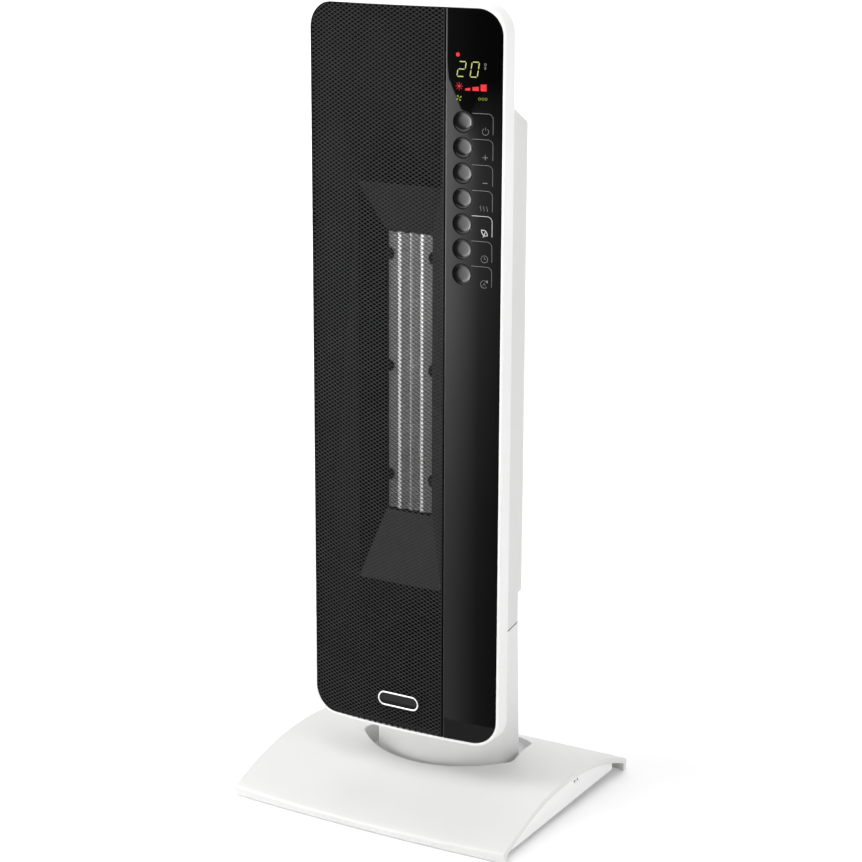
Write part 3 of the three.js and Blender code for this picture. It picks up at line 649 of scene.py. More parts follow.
def build_buttons():
    """Dished keys, square to the bulged face: a thin rounded rim, a sloping wall, a flat floor."""
    rim = [(9.3, -1.0), (9.28, -0.35), (9.2, -0.1), (9.08, 0.0), (8.95, -0.05)]
    wall = [(8.5, -0.42), (8.0, -0.78), (7.5, -1.08), (7.0, -1.32), (6.4, -1.53), (5.7, -1.69),
            (5.0, -1.79), (4.0, -1.87), (2.0, -1.92)]
    profile = [(0.0, -5.0), (9.3, -5.0)] + rim + wall + [(0.0, -1.93)]
    stem = [(0, -9.5), (2.3, -9.5), (2.5, -9.3), (2.5, -4.9), (0, -4.9)]
    out = Vector((BUTTON_X, front_y(BUTTON_X) - BULGE_Y, 0.0)).normalized()
    across = Vector((0, 0, 1)).cross(out).normalized()
    turn = Matrix((across, out.cross(across), out)).transposed().to_4x4()
    for i in range(BUTTONS):
        bm = lathe(profile, 64)
        merge(bm, lathe(stem, 24))
        bm.transform(Matrix.Translation(mm(BUTTON_X, front_y(BUTTON_X), button_z(i))) @ turn)
        button = "button_%d" % (i + 1)
        piece("button_key_%d" % (i + 1), bm, KEY, [button], button, sharp=50)


def ribbon(points, width, closed=False):
    """Outline loops of a line drawn with a pen of the given width."""
    left, right = [], []
    count = len(points)
    for i, (x, y) in enumerate(points):
        before = points[(i - 1) % count] if closed or i else points[i]
        after = points[(i + 1) % count] if closed or i < count - 1 else points[i]
        along = Vector((after[0] - before[0], after[1] - before[1])).normalized() * width / 2
        left.append((x - along.y, y + along.x))
        right.append((x + along.y, y - along.x))
    return [left, right] if closed else [left + right[::-1]]


def draw(marks, points, width=LINE, closed=False):
    marks.append(ribbon(points, width, closed))


def draw_brackets():
    for i in range(BUTTONS):
        z = button_z(i)
        corner = arc(90.6, z + 3.5, 5.0, 90, 0, 8)
        draw(BRIGHT if i == 4 else PRINTED, [(75.2, z + 8.5)] + corner + [(95.6, z - 10.4)])


def draw_icons():
    x = 88.2
    power, plus, minus, mode, leaf, clock, swing = [button_z(i) - 7.9 for i in range(BUTTONS)]
    draw(PRINTED, arc(x, power, 3.1, 125, 415, 28))
    draw(PRINTED, [(x, power + 1.0), (x, power + 3.9)])
    for x0, z0, x1, z1 in ((-2.4, plus, 2.4, plus), (0, plus + 0.36, 0, plus + 2.4),
                           (0, plus - 0.36, 0, plus - 2.4), (-2.4, minus, 2.4, minus)):
        draw(PRINTED, [(x + x0, z0), (x + x1, z1)], 0.7)
    for step in (-1, 0, 1):
        draw(PRINTED, [(x - 1 + step * 3.2 + 0.5 * sin(t * 1.05), mode - 2.4 + t * 0.8)
                       for t in range(7)])
    outline = arc(x - 3.2, leaf - 1.6, 6.0, 0, 58, 8) + arc(x + 2.8, leaf + 3.5, 6.0, 180, 238, 8)
    draw(BRIGHT, outline, 0.7, closed=True)
    draw(BRIGHT, [(x - 1.6, leaf - 3.2), (x + 0.6, leaf + 1.6)], 0.6)
    draw(PRINTED, circle(x, clock, 3.3, 32), closed=True)
    draw(PRINTED, [(x, clock + 2.4), (x, clock), (x + 1.8, clock)], 0.5)
    ring = arc(x, swing, 3.6, 40, 320, 26)
    draw(PRINTED, ring)
    tip_x, tip_z = ring[0]
    PRINTED.append([[(tip_x - 1.7, tip_z + 0.4), (tip_x + 1.0, tip_z - 1.2), (tip_x + 0.9, tip_z + 1.6)]])
    draw(PRINTED, [(x - 1.2, swing - 1.3), (x, swing + 1.3), (x + 1.2, swing - 1.3)], 0.5)


# Segments of a figure, as the corners of a slanted cell of width 1 and height 2.
SEGMENTS = {
    "a": (0, 2, 1, 2), "b": (1, 2, 1, 1), "c": (1, 1, 1, 0), "d": (0, 0, 1, 0), "e": (0, 1, 0, 0),
    "f": (0, 2, 0, 1), "g": (0, 1, 1, 1),
}


def draw_figure(x, z, lit):
    width, half_height, slant, pen, gap = 7.2, 6.8, 0.16, 0.95, 0.5
    for key in lit:
        start, end = [Vector((x + a * width + b * half_height * slant, z + b * half_height))
                      for a, b in (SEGMENTS[key][:2], SEGMENTS[key][2:])]
        along = (end - start).normalized()
        side, nose = Vector((-along.y, along.x)) * pen / 2, along * pen / 2
        start, end = start + along * gap, end - along * gap
        LIT_LIME.append([[tuple(p) for p in (start, start + nose + side, end - nose + side,
                                             end, end - nose - side, start + nose - side)]])


def draw_display():
    """A lamp, a reading, a degree mark, a sun, three bars, a fan and a row of rings."""
    LIT_RED.append([circle(60.1, 753.2, 1.9, 24)])
    draw_figure(59.2, 733.4, "abged")
    draw_figure(72.3, 733.4, "abcdef")
    draw(PRINTED, circle(87.4, 745.2, 0.9, 20), 0.6, closed=True)
    draw(PRINTED, [(87.4, 743.2), (87.4, 740.6)], 1.3)
    LIT_RED.append([circle(61.6, 724.6, 1.2, 24)])
    inner, outer = circle(61.6, 724.6, 1.9, 8), circle(61.6, 724.6, 3.6, 8)
    for ray in zip(inner, outer):
        draw(LIT_RED, ray, 0.42)
    low = 720.9
    for x0, x1, left, right in ((67.6, 72.6, 1.7, 2.7), (74.9, 81.0, 3.3, 4.0), (83.0, 88.8, 6.0, 6.4)):
        LIT_RED.append([[(x0, low), (x1, low), (x1, low + right), (x0, low + left)]])
    for turn in range(0, 360, 90):
        root = arc(61.4, 713.7, 0.5, turn + 35, turn + 35, 1)[:1]
        LIT_GREEN.append([root + arc(61.4, 713.7, 2.9, turn + 14, turn + 50, 5)])
    for i in range(3):
        draw(LIT_GREEN, circle(82.0 + i * 3.2, 713.8, 1.1, 16), 0.35, closed=True)


def build_marks():
    draw_brackets()
    draw_icons()
    draw_display()
    for name, marks, material in (
            ("printed_marks", PRINTED, PRINT), ("printed_marks_bright", BRIGHT, PRINT_BRIGHT),
            ("lit_marks_red", LIT_RED, RED), ("lit_marks_lime", LIT_LIME, LIME),
            ("lit_marks_green", LIT_GREEN, GREEN)):
        bm = bmesh.new()
        for loops in marks:
            merge(bm, upright(loops, -RISE, 0.06))
        piece(name, bend(bm), material, weighted=False)


def build_badge():
    """Blank stadium plate: bright rounded rim round a dark sunken field."""
    x, z, half, tall, band = -2.0, 111.7, 23.5, 7.5, 1.7
    y = front_y(x) + GRILLE_DEPTH - 0.15
    edges = (x - half, x + half, z - tall, z + tall)
    outer = round_rect(*edges, tall - 0.01, 16)
    inner = round_rect(*shrink(edges, band), tall - band - 0.01, 16)
    piece("badge_rim", upright([outer, inner], y - 1.7, y, 0.5, 3), BADGE_METAL,
          ["badge_plate"])
    piece("badge_field", upright([inner], y - 1.0, y, 0.1, 2), GLOSS)


# ---- air path behind the grille

FUNNEL_RIM = (-55.0, 39.0, 230.0, 627.5)
WINDOW = (-33.5, 17.5, 299.0, 580.0)
FUNNEL_Y, WINDOW_Y = -49.0, -33.0
DUCT_X = -8.0
ELEMENT_Z = (300.6, 578.0)
ELEMENT_Y = (-30.3, -12.0)
FIN_BLOCKS = ((-33.2, -22.4), (-18.8, -8.8), (-7.2, 2.8), (6.4, 17.2))


def plate_outline(inset):
    """The face's outline up to the strip, from its top right corner round to the lower right."""
    kept = [p for p in face_outline(inset) if p[0] <= GRILLE_RIGHT - 0.5]
    first = kept.index(min(kept, key=lambda p: (-p[1], -p[0])))
    right = GRILLE_RIGHT - inset
    return [(right, FACE_HIGH - inset)] + kept[first:] + kept[:first] + [(right, FACE_LOW + inset)]


def build_baffle():
    """Plate behind the grille with a skirt at its edge, and the funnel down to the element."""
    bm = upright([plate_outline(0.6), round_rect(*FUNNEL_RIM, 4.0)], FUNNEL_Y - 2.0, FUNNEL_Y)
    level = lambda inset: [(x, FUNNEL_Y - 1.0, z) for x, z in plate_outline(inset)]
    forward = lambda inset: [(x, front_y(x) + 0.2, z) for x, z in plate_outline(inset)]
    merge(bm, ring_solid([level(-0.1), forward(-0.1), forward(0.7), level(0.7)]))
    rows = []
    for inset, y, along, r in (
            (0.0, FUNNEL_Y - 2.0, 0.0, 4.0), (0.0, FUNNEL_Y - 1.0, 0.02, 4.0),
            (0.0, WINDOW_Y - 0.6, 0.96, 2.4), (0.0, WINDOW_Y, 1.0, 2.0), (-2.0, WINDOW_Y, 1.0, 3.0),
            (-2.0, FUNNEL_Y + 0.4, 0.02, 5.0), (-1.0, FUNNEL_Y - 1.0, 0.0, 5.0)):
        edges = [a + (b - a) * along for a, b in zip(FUNNEL_RIM, WINDOW)]
        rows.append([(x, y, z) for x, z in round_rect(*shrink(edges, inset), r, 6)])
    merge(bm, ring_solid(rows))

    # Painted light and shade by facing: faces that point up take the lightest black, faces that point down
    # or left a lighter one, faces that point right the darkest, and the rest the plate's dark black.
    def choose(normal):
        if normal.z > 0.12:
            return 3
        if normal.z < -0.12 or normal.x < -0.3:
            return 2
        return 0 if normal.x > 0.3 else 1

    piece("outlet_funnel", bm, BLACK_PAINTED_SHADE, ["outlet_baffle"], sharp=25,
          weighted=False, others=(PLATE_BLACK_PAINTED_SHADE, FUNNEL_BLACK_PAINTED_LIGHT, FUNNEL_PAINTED_STRONG_LIGHT), choose=choose)


def build_heater_frame():
    """Flange with notches for the clips, and the walls behind it."""
    outer = round_rect(-41, 25, 292, 588, 2.0, 4)
    clip_z = (335.0, 445.0, 556.0)
    x0, x1, z0, z1 = WINDOW

    def notch(x, z, side, reach):
        return [(x - side * reach * cos(radians(a)), z + side * 6.2 * sin(radians(a)))
                for a in range(-90, 91, 15)]

    right = [point for z in clip_z for point in notch(x1, z, 1, 4.6)]
    left = [point for z in reversed(clip_z) for point in notch(x0, z, -1, 7.0)]
    opening = [(x0, z0), (x1, z0)] + right + [(x1, z1), (x0, z1)] + left
    bm = upright([outer, opening], -32.7, -30.7, 0.3, 2)
    merge(bm, upright([outer, round_rect(*WINDOW, 0.8, 3)], -30.8, -10.3, 0.2, 2))
    # The frame takes the darkest black: painted shade.
    piece("element_frame", bm, BLACK_PAINTED_SHADE, ["heater_frame"])


def build_fins(i, x0, x1):
    """One corrugated fin: a thin strip folded back and forth, and its two side rails."""
    pitch, half_sheet = 2.3, 0.14
    (low, high), (front, back) = ELEMENT_Z, ELEMENT_Y
    folds = int((high - low - 1.0) / (pitch / 2))
    line = []
    for k in range(folds + 1):
        z = low + 0.5 + k * (high - low - 1.0) / folds
        tip, root = (x1 - 0.55, x1 - 0.9) if k % 2 else (x0 + 0.55, x0 + 0.9)
        line += [(root, z - 0.25), (tip, z), (root, z + 0.25)]
    bm = capped_solid([[(x, y, z + dz) for y, dz in rectangle(front, back, -half_sheet, half_sheet)]
                       for x, z in line])
    for x in (x0, x1 - 0.5):
        merge(bm, box(x, x + 0.5, front + 0.3, back, low, high))
    piece("fin_fold_%d" % i, bm, FIN, ["fin_block_%d" % i], sharp=30, weighted=False)


def build_element():
    for i, edges in enumerate(FIN_BLOCKS, 1):
        build_fins(i, *edges)
    front, back = ELEMENT_Y
    for i, x in enumerate((DUCT_X - 12.6, DUCT_X + 12.6), 1):
        bm = upright([round_rect(x - 1.5, x + 1.5, *ELEMENT_Z, 0.4, 3)], front - 0.4, back, 0.35, 3)
        piece("stone_tube_%d" % i, bm, ALUMINIUM, ["ptc_bar_%d" % i])
    bm = upright([rectangle(DUCT_X - 0.5, DUCT_X + 0.5, *ELEMENT_Z)], front, back, 0.15, 2)
    piece("centre_electrode", bm, FIN, ["electrode_plate"])


# ---- stand and rear housing

STAND_HALF, STAND_APEX, STAND_CORNER_Y, STAND_BACK = 74.5, -28.0, 15.5, 55.0
SEAM_Z, SEAM_Y, SEAM_SLOPE = 172.3, 20.0, 0.205
HOUSING_HALF, HOUSING_BACK, HOUSING_R = 76.0, 60.0, 18.0
HOUSING_TOP, HOUSING_BEND, HOUSING_SLOPE = 712.0, -7.0, 0.568
HOUSING_FRONT = -37.9
NECK_HALF, NECK_BACK = 75.0, 47.5
LEDGE_LOW, LEDGE_HIGH = 210.5, 246.0
FAR = 120.0  # past the housing on every side, for the solids that cut it
INTAKE = (-50.0, 50.0, 300.0, 600.0)
SCREW_PLACES = [(x, z) for x in (-52, 52) for z in (250, 645)]


def seam_at(y):
    return SEAM_Z + SEAM_SLOPE * (y - SEAM_Y)


def stand_outline(inset):
    """Curved front, crisp front corners, flat sides and rounded rear corners."""
    corner = 8.0
    rise = STAND_CORNER_Y - STAND_APEX
    radius = (STAND_HALF ** 2 + rise ** 2) / (2 * rise)
    half, back = STAND_HALF - inset, STAND_BACK - inset
    reach = degrees(asin((half - 0.35) / (radius - inset)))
    front = arc(0, STAND_APEX + radius, radius - inset, -90 - reach, -90 + reach, 40)
    edge_y = front[-1][1]
    right = [(half, edge_y + 1.2), (half, edge_y + 8.0), (half, back - corner - 6)]
    right += arc(half - corner + inset, STAND_BACK - corner, max(corner - inset, 0.5), 0, 90, 10)
    return front + right + [(half * 0.4, back), (0.0, back), (-half * 0.4, back)] + mirrored(right)


def build_stand():
    """Neck: a shell whose top edge follows the tilted seam, and a dark band in the seam that paints the
    shade of the gap.
    """
    low, top, lean, wall = 22.0, 200.0, -7.0, 2.5

    def ring(inset, z_of):
        points = []
        for x, y in stand_outline(inset):
            if y > STAND_CORNER_Y + 20:
                y += lean * (z_of(y) - low) / (top - low)
            points.append((x, y, z_of(y)))
        return points

    level = lambda k: (lambda y: low + 14.0 * k)
    under = lambda drop: (lambda y: seam_at(y) - drop)
    path = [(0.0, level(k)) for k in range(10)]
    path += [(0.0, under(2.0)), (0.0, under(1.0)), (0.06, under(0.7)), (0.22, under(0.55)),
             (wall, under(0.55)), (wall, under(6.0))]
    path += [(wall, level(k)) for k in (9, 7, 5, 3, 1, 0)]
    band = [(0.3, under(0.5)), (0.3, under(-1.4)), (2.4, under(-1.4)), (2.4, under(0.5))]
    piece("stand_shell", ring_solid([ring(*step) for step in path]), STAND_WHITE_PAINTED_SHADE,
          ["pedestal"], sharp=30)
    # Painted shade: a dark band fills the seam gap where there is only shade.
    piece("seam_shade_band_painted", ring_solid([ring(*step) for step in band]), RUBBER, sharp=30)


def plan_outline(half, back, r, front):
    return ([(-half, front), (half, front)] + arc(half - r, back - r, r, 0, 90, 20)
            + arc(r - half, back - r, r, 90, 180, 20))


def side_profile(inset):
    """The housing from the side: flat top, slope, rounded shoulder, back and rounded ledge."""
    drop = inset * hypot(1, HOUSING_SLOPE)
    slope_at = lambda y: HOUSING_TOP - drop - HOUSING_SLOPE * (y - HOUSING_BEND)
    top, back, foot = HOUSING_TOP - inset, HOUSING_BACK - inset, LEDGE_LOW + inset
    after_bend = HOUSING_BEND + 6
    crown = quadratic((HOUSING_BEND - 6, top), (HOUSING_BEND, top), (after_bend, slope_at(after_bend)), 6)
    shoulder = quadratic((back - 9, slope_at(back - 9)), (back, slope_at(back)),
                         (back, slope_at(back) - 9), 8)
    ledge = quadratic((back, LEDGE_HIGH), (back, foot), (NECK_BACK - 6, foot - 1.0), 10)
    return [(-60.0, top)] + crown + shoulder + ledge + [(-60.0, foot - 1.0)]


def housing_solid(inset, front):
    plan = plan_outline(HOUSING_HALF - inset, HOUSING_BACK - inset, HOUSING_R - inset, front)
    upper = boolean(lying([plan], 150, 780), sideways(side_profile(inset), -FAR, FAR), "INTERSECT")
    plan = plan_outline(NECK_HALF - inset, NECK_BACK - inset, 8.0 - inset, front)
    return boolean(upper, lying([plan], 100, LEDGE_LOW + 8 - inset), "UNION")


def build_housing():
    bm = boolean(housing_solid(0.0, HOUSING_FRONT), housing_solid(2.5, HOUSING_FRONT - 20))
    seam = [(y, seam_at(y) + 1.5) for y in (-90, 90)]
    bm = boolean(bm, sideways(seam + [(90, 800), (-90, 800)], -FAR, FAR), "INTERSECT")
    bm = boolean(bm, upright([round_rect(*INTAKE, 3.0, 4)], 45, 80))
    for x, z in SCREW_PLACES:
        bm = boolean(bm, upright([circle(x, z, 4.3, 24)], 56, 80))
        bm = boolean(bm, upright([circle(x, z, 2.1, 16)], 40, 60))
    bevel_sharp(bm, 0.7, 28, 3, lambda e: all(v.co.z / MM - seam_at(v.co.y / MM) > 3.0 for v in e.verts))
    for x, z in SCREW_PLACES:
        merge(bm, upright([circle(x, z, 6.5, 24), circle(x, z, 2.1, 16)], 45.5, 57.4))
    piece("housing_shell", bm, WHITE_FINE_GRAIN_PAINTED_SHADE, ["rear_housing"], sharp=30)


def screw(head_r, head_h, shank_r):
    """Pan head with a cross recess, seat at height 0, head upwards."""
    length = 11.0
    dome = [(head_r * cos(radians(a)), head_h * (0.35 + 0.65 * sin(radians(a))))
            for a in range(0, 90, 15)]
    profile = [(0, -length), (shank_r * 0.4, -length), (shank_r, -length + shank_r * 1.6),
               (shank_r, 0.0), (head_r, 0.0)] + dome + [(0, head_h)]
    arm, wide, low, high = head_r * 0.58, head_r * 0.14, head_h * 0.35, head_h + 2
    cross = boolean(box(-arm, arm, -wide, wide, low, high), box(-wide, wide, -arm, arm, low, high), "UNION")
    return boolean(lathe(profile, 32), cross)


def build_screws(name, cad_name, body, sizes, places, facing, spins):
    for i, (place, spin) in enumerate(zip(places, spins), 1):
        bm = put(screw(*sizes), place, (facing, "X"), (spin, "Z"))
        piece("%s_%d" % (name, i), bm, STEEL, ["%s_%d" % (cad_name, i)], body)


def build_housing_screws():
    build_screws("housing_fastener", "housing_screw", TOWER, (3.8, 2.4, 1.75),
                 [(x, 56.3, z) for x, z in SCREW_PLACES], -pi / 2, (0.0, 0.4, 0.8, 1.2))


def build_cassette():
    """Intake cover: rounded rim, fine level slats leaning down, three ribs and a finger tab."""
    slats, rim = 41, 4.5
    edges = shrink(INTAKE, 0.4)
    x0, x1, z0, z1 = edges
    bm = upright([round_rect(*edges, 2.7, 5), round_rect(*shrink(edges, rim), 2.0, 5)], 52.8, 60.4, 0.7, 3)
    half = (x1 - x0) / 2 - 4.0
    for k in range(slats):
        z = z0 + rim + (k + 0.5) * (z1 - z0 - 2 * rim) / slats
        slat = flat_plate([round_rect(-half, half, -1.9, 1.9, 0.3, 1)], 1.3, 0.3, 2)
        merge(bm, put(slat, (0, 58.3, z), (radians(28), "X")))
    for x in (-23.0, 0.0, 23.0):
        rib = round_rect(x - 1.1, x + 1.1, z0 + 4.0, z1 - 4.0, 0.4, 2)
        merge(bm, upright([rib], 56.3, 59.6, 0.3, 2))
    merge(bm, upright([round_rect(-13, 13, z1 - 9.5, z1 - 3.5, 2.6, 6)], 57.0, 60.9, 0.8, 3))
    piece("intake_cover", bm, WHITE_FINE_GRAIN_PAINTED_SHADE, ["filter_cassette"], "filter")


# ---- base

BASE_HALF, BASE_FRONT, BASE_BOW, BASE_BACK, BASE_LIP = 156.5, -129.4, 5.1, 134.5, 1.2
ARCH_R, ARCH_Y, ARCH_Z = 320.0, 6.5, 40.2
PLATE_SCREWS = [(x, y) for x in (-112.0, 112.0) for y in (-82.0, 76.0)]


def arch_z(y, inset=0.0):
    return ARCH_Z - ARCH_R + sqrt((ARCH_R - inset) ** 2 - (y - ARCH_Y) ** 2)


def base_front(x, inset):
    radius = (BASE_HALF ** 2 + BASE_BOW ** 2) / (2 * BASE_BOW)
    return BASE_FRONT - BASE_BOW + radius - sqrt((radius - inset) ** 2 - x * x)


def arch_line(x, inset, thick):
    """Cross-section of the arch at x, from the front foot over the top to the rear one."""
    top, steps = inset + thick, 46
    front, back = base_front(x, top), BASE_BACK - top
    r = max(1.6 - thick, 0.4)

    def foot(y, inward):
        z = arch_z(y, top)
        return [(x, y, BASE_LIP + inset), (x, y, z - r * 1.6),
                (x, y + inward * r * 0.12, z - r * 0.75), (x, y + inward * r * 0.45, z - r * 0.22)]

    crown = [front + r + (back - front - 2 * r) * k / steps for k in range(steps + 1)]
    return foot(front, 1) + [(x, y, arch_z(y, top)) for y in crown] + foot(back, -1)[::-1]


def recess_outline(grow):
    """Plan of the opening: bowed front, sides closing in and clipped rear corners."""
    half, back_half, back = 86.5 + grow, 74.5 + grow, 103.0 + grow
    front_half, bow = 84.0, 39.0
    radius = (front_half ** 2 + bow ** 2) / (2 * bow)
    reach = degrees(asin(front_half / radius))
    front = arc(0, radius - 35.0, radius + grow, -90 - reach, -90 + reach, 40)
    right = quadratic(front[-1], (half + 2, 8.0), (half, 18.0), 8)[1:]
    right += [(half + (back_half - half) * k / 6, 18.0 + 56.0 * k / 6) for k in range(1, 7)]
    right += quadratic((back_half, 74.0), (back_half - 1.5, 82.0), (back_half - 8.5, 87.5 + grow), 6)[1:]
    right += quadratic(right[-1], (48.0, back), (38.0, back), 8)[1:] + [(25.4, back), (12.8, back)]
    return front + right + mirrored(right)


def build_base_shell():
    """Arch with a thick rounded rim at each end, opened for the stand and for the lead."""
    rim, rim_thick, wall = BASE_HALF - 5.0, 6.0, 3.5
    stations = [(BASE_HALF - 1.0 + sin(radians(a)), 1.0 - cos(radians(a)), rim_thick)
                for a in (90, 68, 45, 22, 0)]
    stations += [(rim, 0.0, rim_thick), (rim, 0.0, wall)]
    stations += [(rim - 6.0 - k * 8.6, 0.0, wall) for k in range(17)]
    other_end = [(-x, inset, thick) for x, inset, thick in reversed(stations)]
    bm = bmesh.new()
    made = add_grid(bm, [arch_line(x, inset, 0.0) + arch_line(x, inset, thick - inset * 2)[::-1]
                         for x, inset, thick in stations + [(0.0, 0.0, wall)] + other_end],
                    close_columns=True)
    for row in (made[0], made[-1]):
        for k in range(len(row) // 2 - 1):
            add_face(bm, [row[k], row[k + 1], row[-2 - k], row[-1 - k]])
    tidy(bm)
    bm = boolean(bm, lying([recess_outline(1.1)], 10, 60))
    bm = boolean(bm, upright([circle(70, 8, 4.6, 24)], 120, 140))
    piece("base_cover", bm, BASE_WHITE_PAINTED_SHADE, ["base_shell"], BASE, sharp=35)


def build_recess():
    """Cup round the stand: floor, walls and a rounded brim that meets the arch."""
    floor, wall, lift = 20.0, 2.5, 0.03
    surface = lambda grow, drop: [(x, y, arch_z(y) - drop) for x, y in recess_outline(grow)]
    level = lambda grow, z: [(x, y, z) for x, y in recess_outline(grow)]
    rows = [level(-1.2, floor), level(-0.35, floor + 0.3), level(0.0, floor + 1.2),
            surface(0.0, 1.0 - lift), surface(0.08, 0.62 - lift), surface(0.3, 0.28 - lift),
            surface(0.62, 0.07 - lift), surface(1.05, -lift), surface(1.05, 3.0),
            level(wall, floor + 0.5), level(wall, floor - wall)]
    bm = bmesh.new()
    add_grid(bm, rows, close_columns=True)
    tidy(bm)
    merge(bm, lying([recess_outline(wall), circle(0, 38, 9.6, 40),
                          round_rect(-6.9, 6.9, -3.0, 20.5, 2.0, 3)], floor - wall, floor))
    # The cup takes the darker white: painted shade in the recess.
    piece("recess_wall", bm, SHADED_WHITE, ["recess_cup"], BASE, sharp=40, weighted=False)


def build_end_panels():
    front, back = -119.0, 110.0
    top = [(y, arch_z(y, 3.6)) for y in (front + (back - front) * k / 30 for k in range(31))]
    profile = [(front, 4.046)] + [p for p in top if p[1] > 4.6] + [(back, 9.3)]
    for name, side in (("left", -1), ("right", 1)):
        x = side * (BASE_HALF - 5.3)
        bm = sideways(profile, *sorted((x, x - side * 2.5)))
        bevel_sharp(bm, 0.5, 40, 2)
        for y in (24.0, 30.0):
            bm = boolean(bm, box(*sorted((x + side, x - side * 3.0)), y, y + 3.4, 25.0, 28.2))
        piece("end_panel_" + name, bm, END_WHITE_PAINTED_LIGHT, ["base_end_panel_" + name], BASE)


def build_feet():
    profile = [(0, 0.35), (6.2, 0.35), (6.5, 0.0), (8.1, 0.0), (8.5, 0.15), (8.8, 0.6), (9.0, 3.9),
               (8.8, 4.5), (8.4, 4.7), (0, 4.7)]
    for end, y in (("front", -100.0), ("rear", 92.0)):
        for side, x in (("left", -128.0), ("right", 128.0)):
            piece("foot_pad_%s_%s" % (end, side), put(lathe(profile, 40), (x, y, 0)), RUBBER,
                  ["foot_%s_%s" % (end, side)], BASE)


def build_bottom_plate():
    holes = [circle(x, y, 2.2, 20) for x, y in PLATE_SCREWS]
    slots = [round_rect(-61.5 + 15 * k, -58.5 + 15 * k, 70, 98, 1.5, 5) for k in range(9)]
    bm = lying([round_rect(-146, 146, -116, 108, 8.0, 8)] + holes + slots, 5.0, 8.0, 0.5, 2)
    piece("bottom_cover", bm, GREY, ["base_bottom_plate"], BASE)
    build_screws("base_fastener", "base_screw", BASE, (4.0, 2.0, 1.8),
                 [(x, y, 4.7) for x, y in PLATE_SCREWS], pi, (0.3, 0.8, 1.3, 1.8))


def build_gland():
    profile = [(2.8, -7.0), (4.2, -7.0), (4.2, 6.2), (4.0, 6.8), (3.5, 7.0), (3.0, 6.8), (2.8, 6.2)]
    bm = put(lathe(profile, 32, hollow=True), (70, 127.5, 8), (-pi / 2, "X"))
    piece("lead_gland", bm, BLACK, ["cord_gland"], BASE)


# ---- floor, lights, camera

LIGHT = (1.0, 1.0, 1.0, 1.0)
REFLECTOR_PEAK = 8.0  # the brightest value of the reflector's curves


def add_stage(name, bm, material, hidden=(), turn=0.0):
    """A part of the studio, hidden from the named kinds of ray."""
    obj = mesh_object(name, bm, material)
    obj.matrix_world = Matrix.Rotation(radians(turn), 4, "Z")
    configure(obj, **{"visible_" + ray: False for ray in hidden})


def build_floor():
    """Pale floor that sweeps up behind, and glows a little more the farther it is."""
    g = Graph("studio_floor")
    away = g.add("VectorMath", {0: g.place}, operation="LENGTH").outputs["Value"]
    material = g.surface({
        "Base Color": g.ramp(g.noise(3.0), (0.3, 0.93), (0.7, 0.95)),
        "Roughness": g.span(g.noise(40.0), 0.75, 0.85),
        "Emission Color": LIGHT,
        "Emission Strength": g.span(away, 0.11, 0.55, 1.2, 4.0, interpolation_type="SMOOTHSTEP")})
    sweep = [(-6000.0, 0.0), (2400.0, 0.0)] + arc(2400, 1400, 1400, -80, 0, 8) + [(3800.0, 6000.0)]
    bm = bmesh.new()
    add_grid(bm, [[(x, y, z) for y, z in sweep] for x in (-6000.0, 6000.0)])
    for face in bm.faces:
        face.smooth = True
    bmesh.ops.recalc_face_normals(bm, faces=bm.faces)
    add_stage("studio_floor", bm, material, turn=30.0)


def build_surround():
    """Pale dome far outside the floor, for the views that look past its edge."""
    g = Graph("studio_surround")
    material = g.surface({"Base Color": (0.0, 0.0, 0.0, 1.0), "Emission Color": LIGHT,
                          "Emission Strength": g.span(g.noise(0.05), 0.97, 0.99)})
    bm = bmesh.new()
    bmesh.ops.create_uvsphere(bm, u_segments=48, v_segments=24, radius=14.0)
    add_stage("studio_surround", bm, material, ("diffuse", "glossy", "transmission", "shadow"))


def build_reflector():
    """Graded board that only reflections see: bright to the left of the strip, black to the
    right, with a slanted upper edge."""
    g = Graph("studio_reflector")
    g.tree.nodes.remove(g.shader)

    def curve(source, low, high, *points):
        """Straight runs between (place, value) points."""
        stops = [((place - low) / (high - low), value / REFLECTOR_PEAK) for place, value in points]
        return g.math("MULTIPLY", g.ramp(g.span(source, 0.0, 1.0, low, high), *stops), REFLECTOR_PEAK)

    x, z = g.axis("X"), g.axis("Z")
    across = curve(x, -0.8, 0.3, (-0.70, 8.0), (-0.30, 5.0), (-0.10, 3.8), (-0.045, 3.6),
                   (-0.004, 1.7), (0.012, 0.95), (0.035, 0.65), (0.09, 0.15), (0.14, 0.02))
    height = curve(z, 0.0, 0.8, (0.03, 0.36), (0.14, 0.38), (0.25, 0.47), (0.36, 0.7), (0.46, 1.0),
                   (0.63, 1.3))
    slant = g.math("ADD", g.math("MULTIPLY", x, -1.286), 0.6437)
    edge = g.math("MAXIMUM", g.math("MINIMUM", slant, 0.78), 0.655)
    width = curve(x, -0.05, 0.05, (-0.02, 0.0015), (0.02, 0.05))
    above = g.math("DIVIDE", g.math("SUBTRACT", z, edge), width)
    mask = curve(above, -1.0, 1.0, (-0.98, 1.0), (0.98, 0.04))
    lit = g.math("MULTIPLY", g.math("MULTIPLY", across, height), mask)
    overhead = curve(z, 0.7, 1.2, (0.84, 0.0), (0.92, 2.0))
    strength = g.math("ADD", g.math("MULTIPLY", lit, 1.65), overhead)
    emission = g.add("Emission", {"Strength": strength}).outputs["Emission"]
    g.fill(g.tree.nodes["Material Output"], {"Surface": emission})
    bm = bmesh.new()
    add_grid(bm, [[(x, -300.0, z) for x in (-1300.0, 900.0)] for z in (-600.0, 1700.0)])
    add_stage("studio_reflector", bm, g.material, ("camera", "diffuse", "transmission", "shadow"))


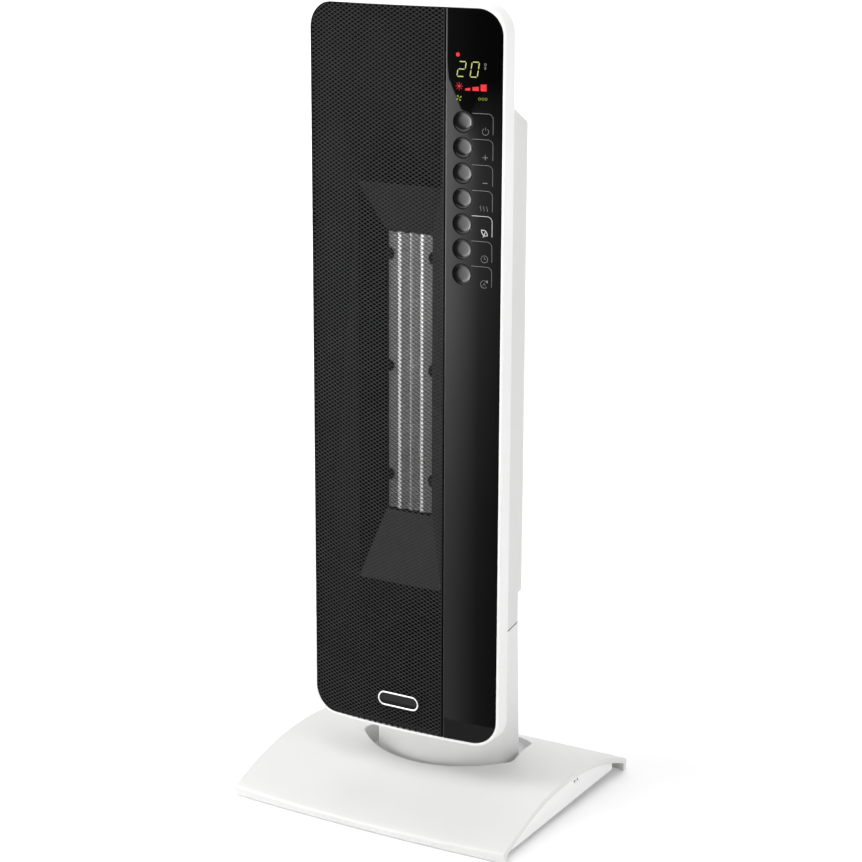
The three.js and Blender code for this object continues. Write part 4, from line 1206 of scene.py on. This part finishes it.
def set_view(obj, place, ahead, roll=0.0):
    obj.location = place
    obj.rotation_mode = "QUATERNION"
    spin = Matrix.Rotation(radians(roll), 4, "Z").to_quaternion()
    obj.rotation_quaternion = ahead.to_track_quat("-Z", "Y") @ spin


def build_lights():
    """Four soft lights in a pale surround. A light's row: place, aim, size and power."""
    for name, place, aim, size, power in (
            ("key_softbox", (-1.9, -1.5, 2.2), (0, 0, 0.4), (1.4, 1.4), 35),
            ("side_softbox", (2.5, -0.3, 1.35), (0, 0, 0.85), (1.4, 1.7), 23),
            ("front_fill", (-0.5, -2.6, 0.35), (0, 0, 0.15), (1.2, 0.6), 12),
            ("top_softbox", (0.1, -0.8, 3.0), (0, 0, 0.2), (2.4, 2.4), 37)):
        data = configure(bpy.data.lights.new(name, "AREA"), shape="RECTANGLE", size=size[0],
                         size_y=size[1], energy=power)
        set_view(add_object(name, data), place, Vector(aim) - Vector(place))
    world = bpy.data.worlds.new("studio")
    bpy.context.scene.world = world
    world.use_nodes = True
    background = world.node_tree.nodes["Background"]
    background.inputs["Color"].default_value = LIGHT
    background.inputs["Strength"].default_value = 0.34
    bpy.context.scene.view_settings.view_transform = "Standard"


def build_camera():
    """The photograph's camera, solved from the object's straight edges."""
    data = configure(bpy.data.cameras.new("camera"), lens=95.3, sensor_width=36.0, clip_start=0.05,
                     clip_end=50.0)
    yaw, pitch = radians(30.71), radians(14.72)
    ahead = Vector((-sin(yaw) * cos(pitch), cos(yaw) * cos(pitch), -sin(pitch)))
    camera = add_object("camera", data)
    set_view(camera, (1.1138, -1.8801, 0.9500), ahead, roll=0.2)
    bpy.context.scene.camera = camera


# ---- building, in the order of the sections above

for build in (build_front_frame, build_grille_panels, build_grille_rim, build_strip, build_strip_edge,
              build_buttons, build_marks, build_badge, build_baffle, build_heater_frame,
              build_element, build_stand, build_housing, build_housing_screws, build_cassette,
              build_base_shell, build_recess, build_end_panels, build_feet, build_bottom_plate,
              build_gland, build_floor, build_surround, build_reflector, build_lights, build_camera):
    build()
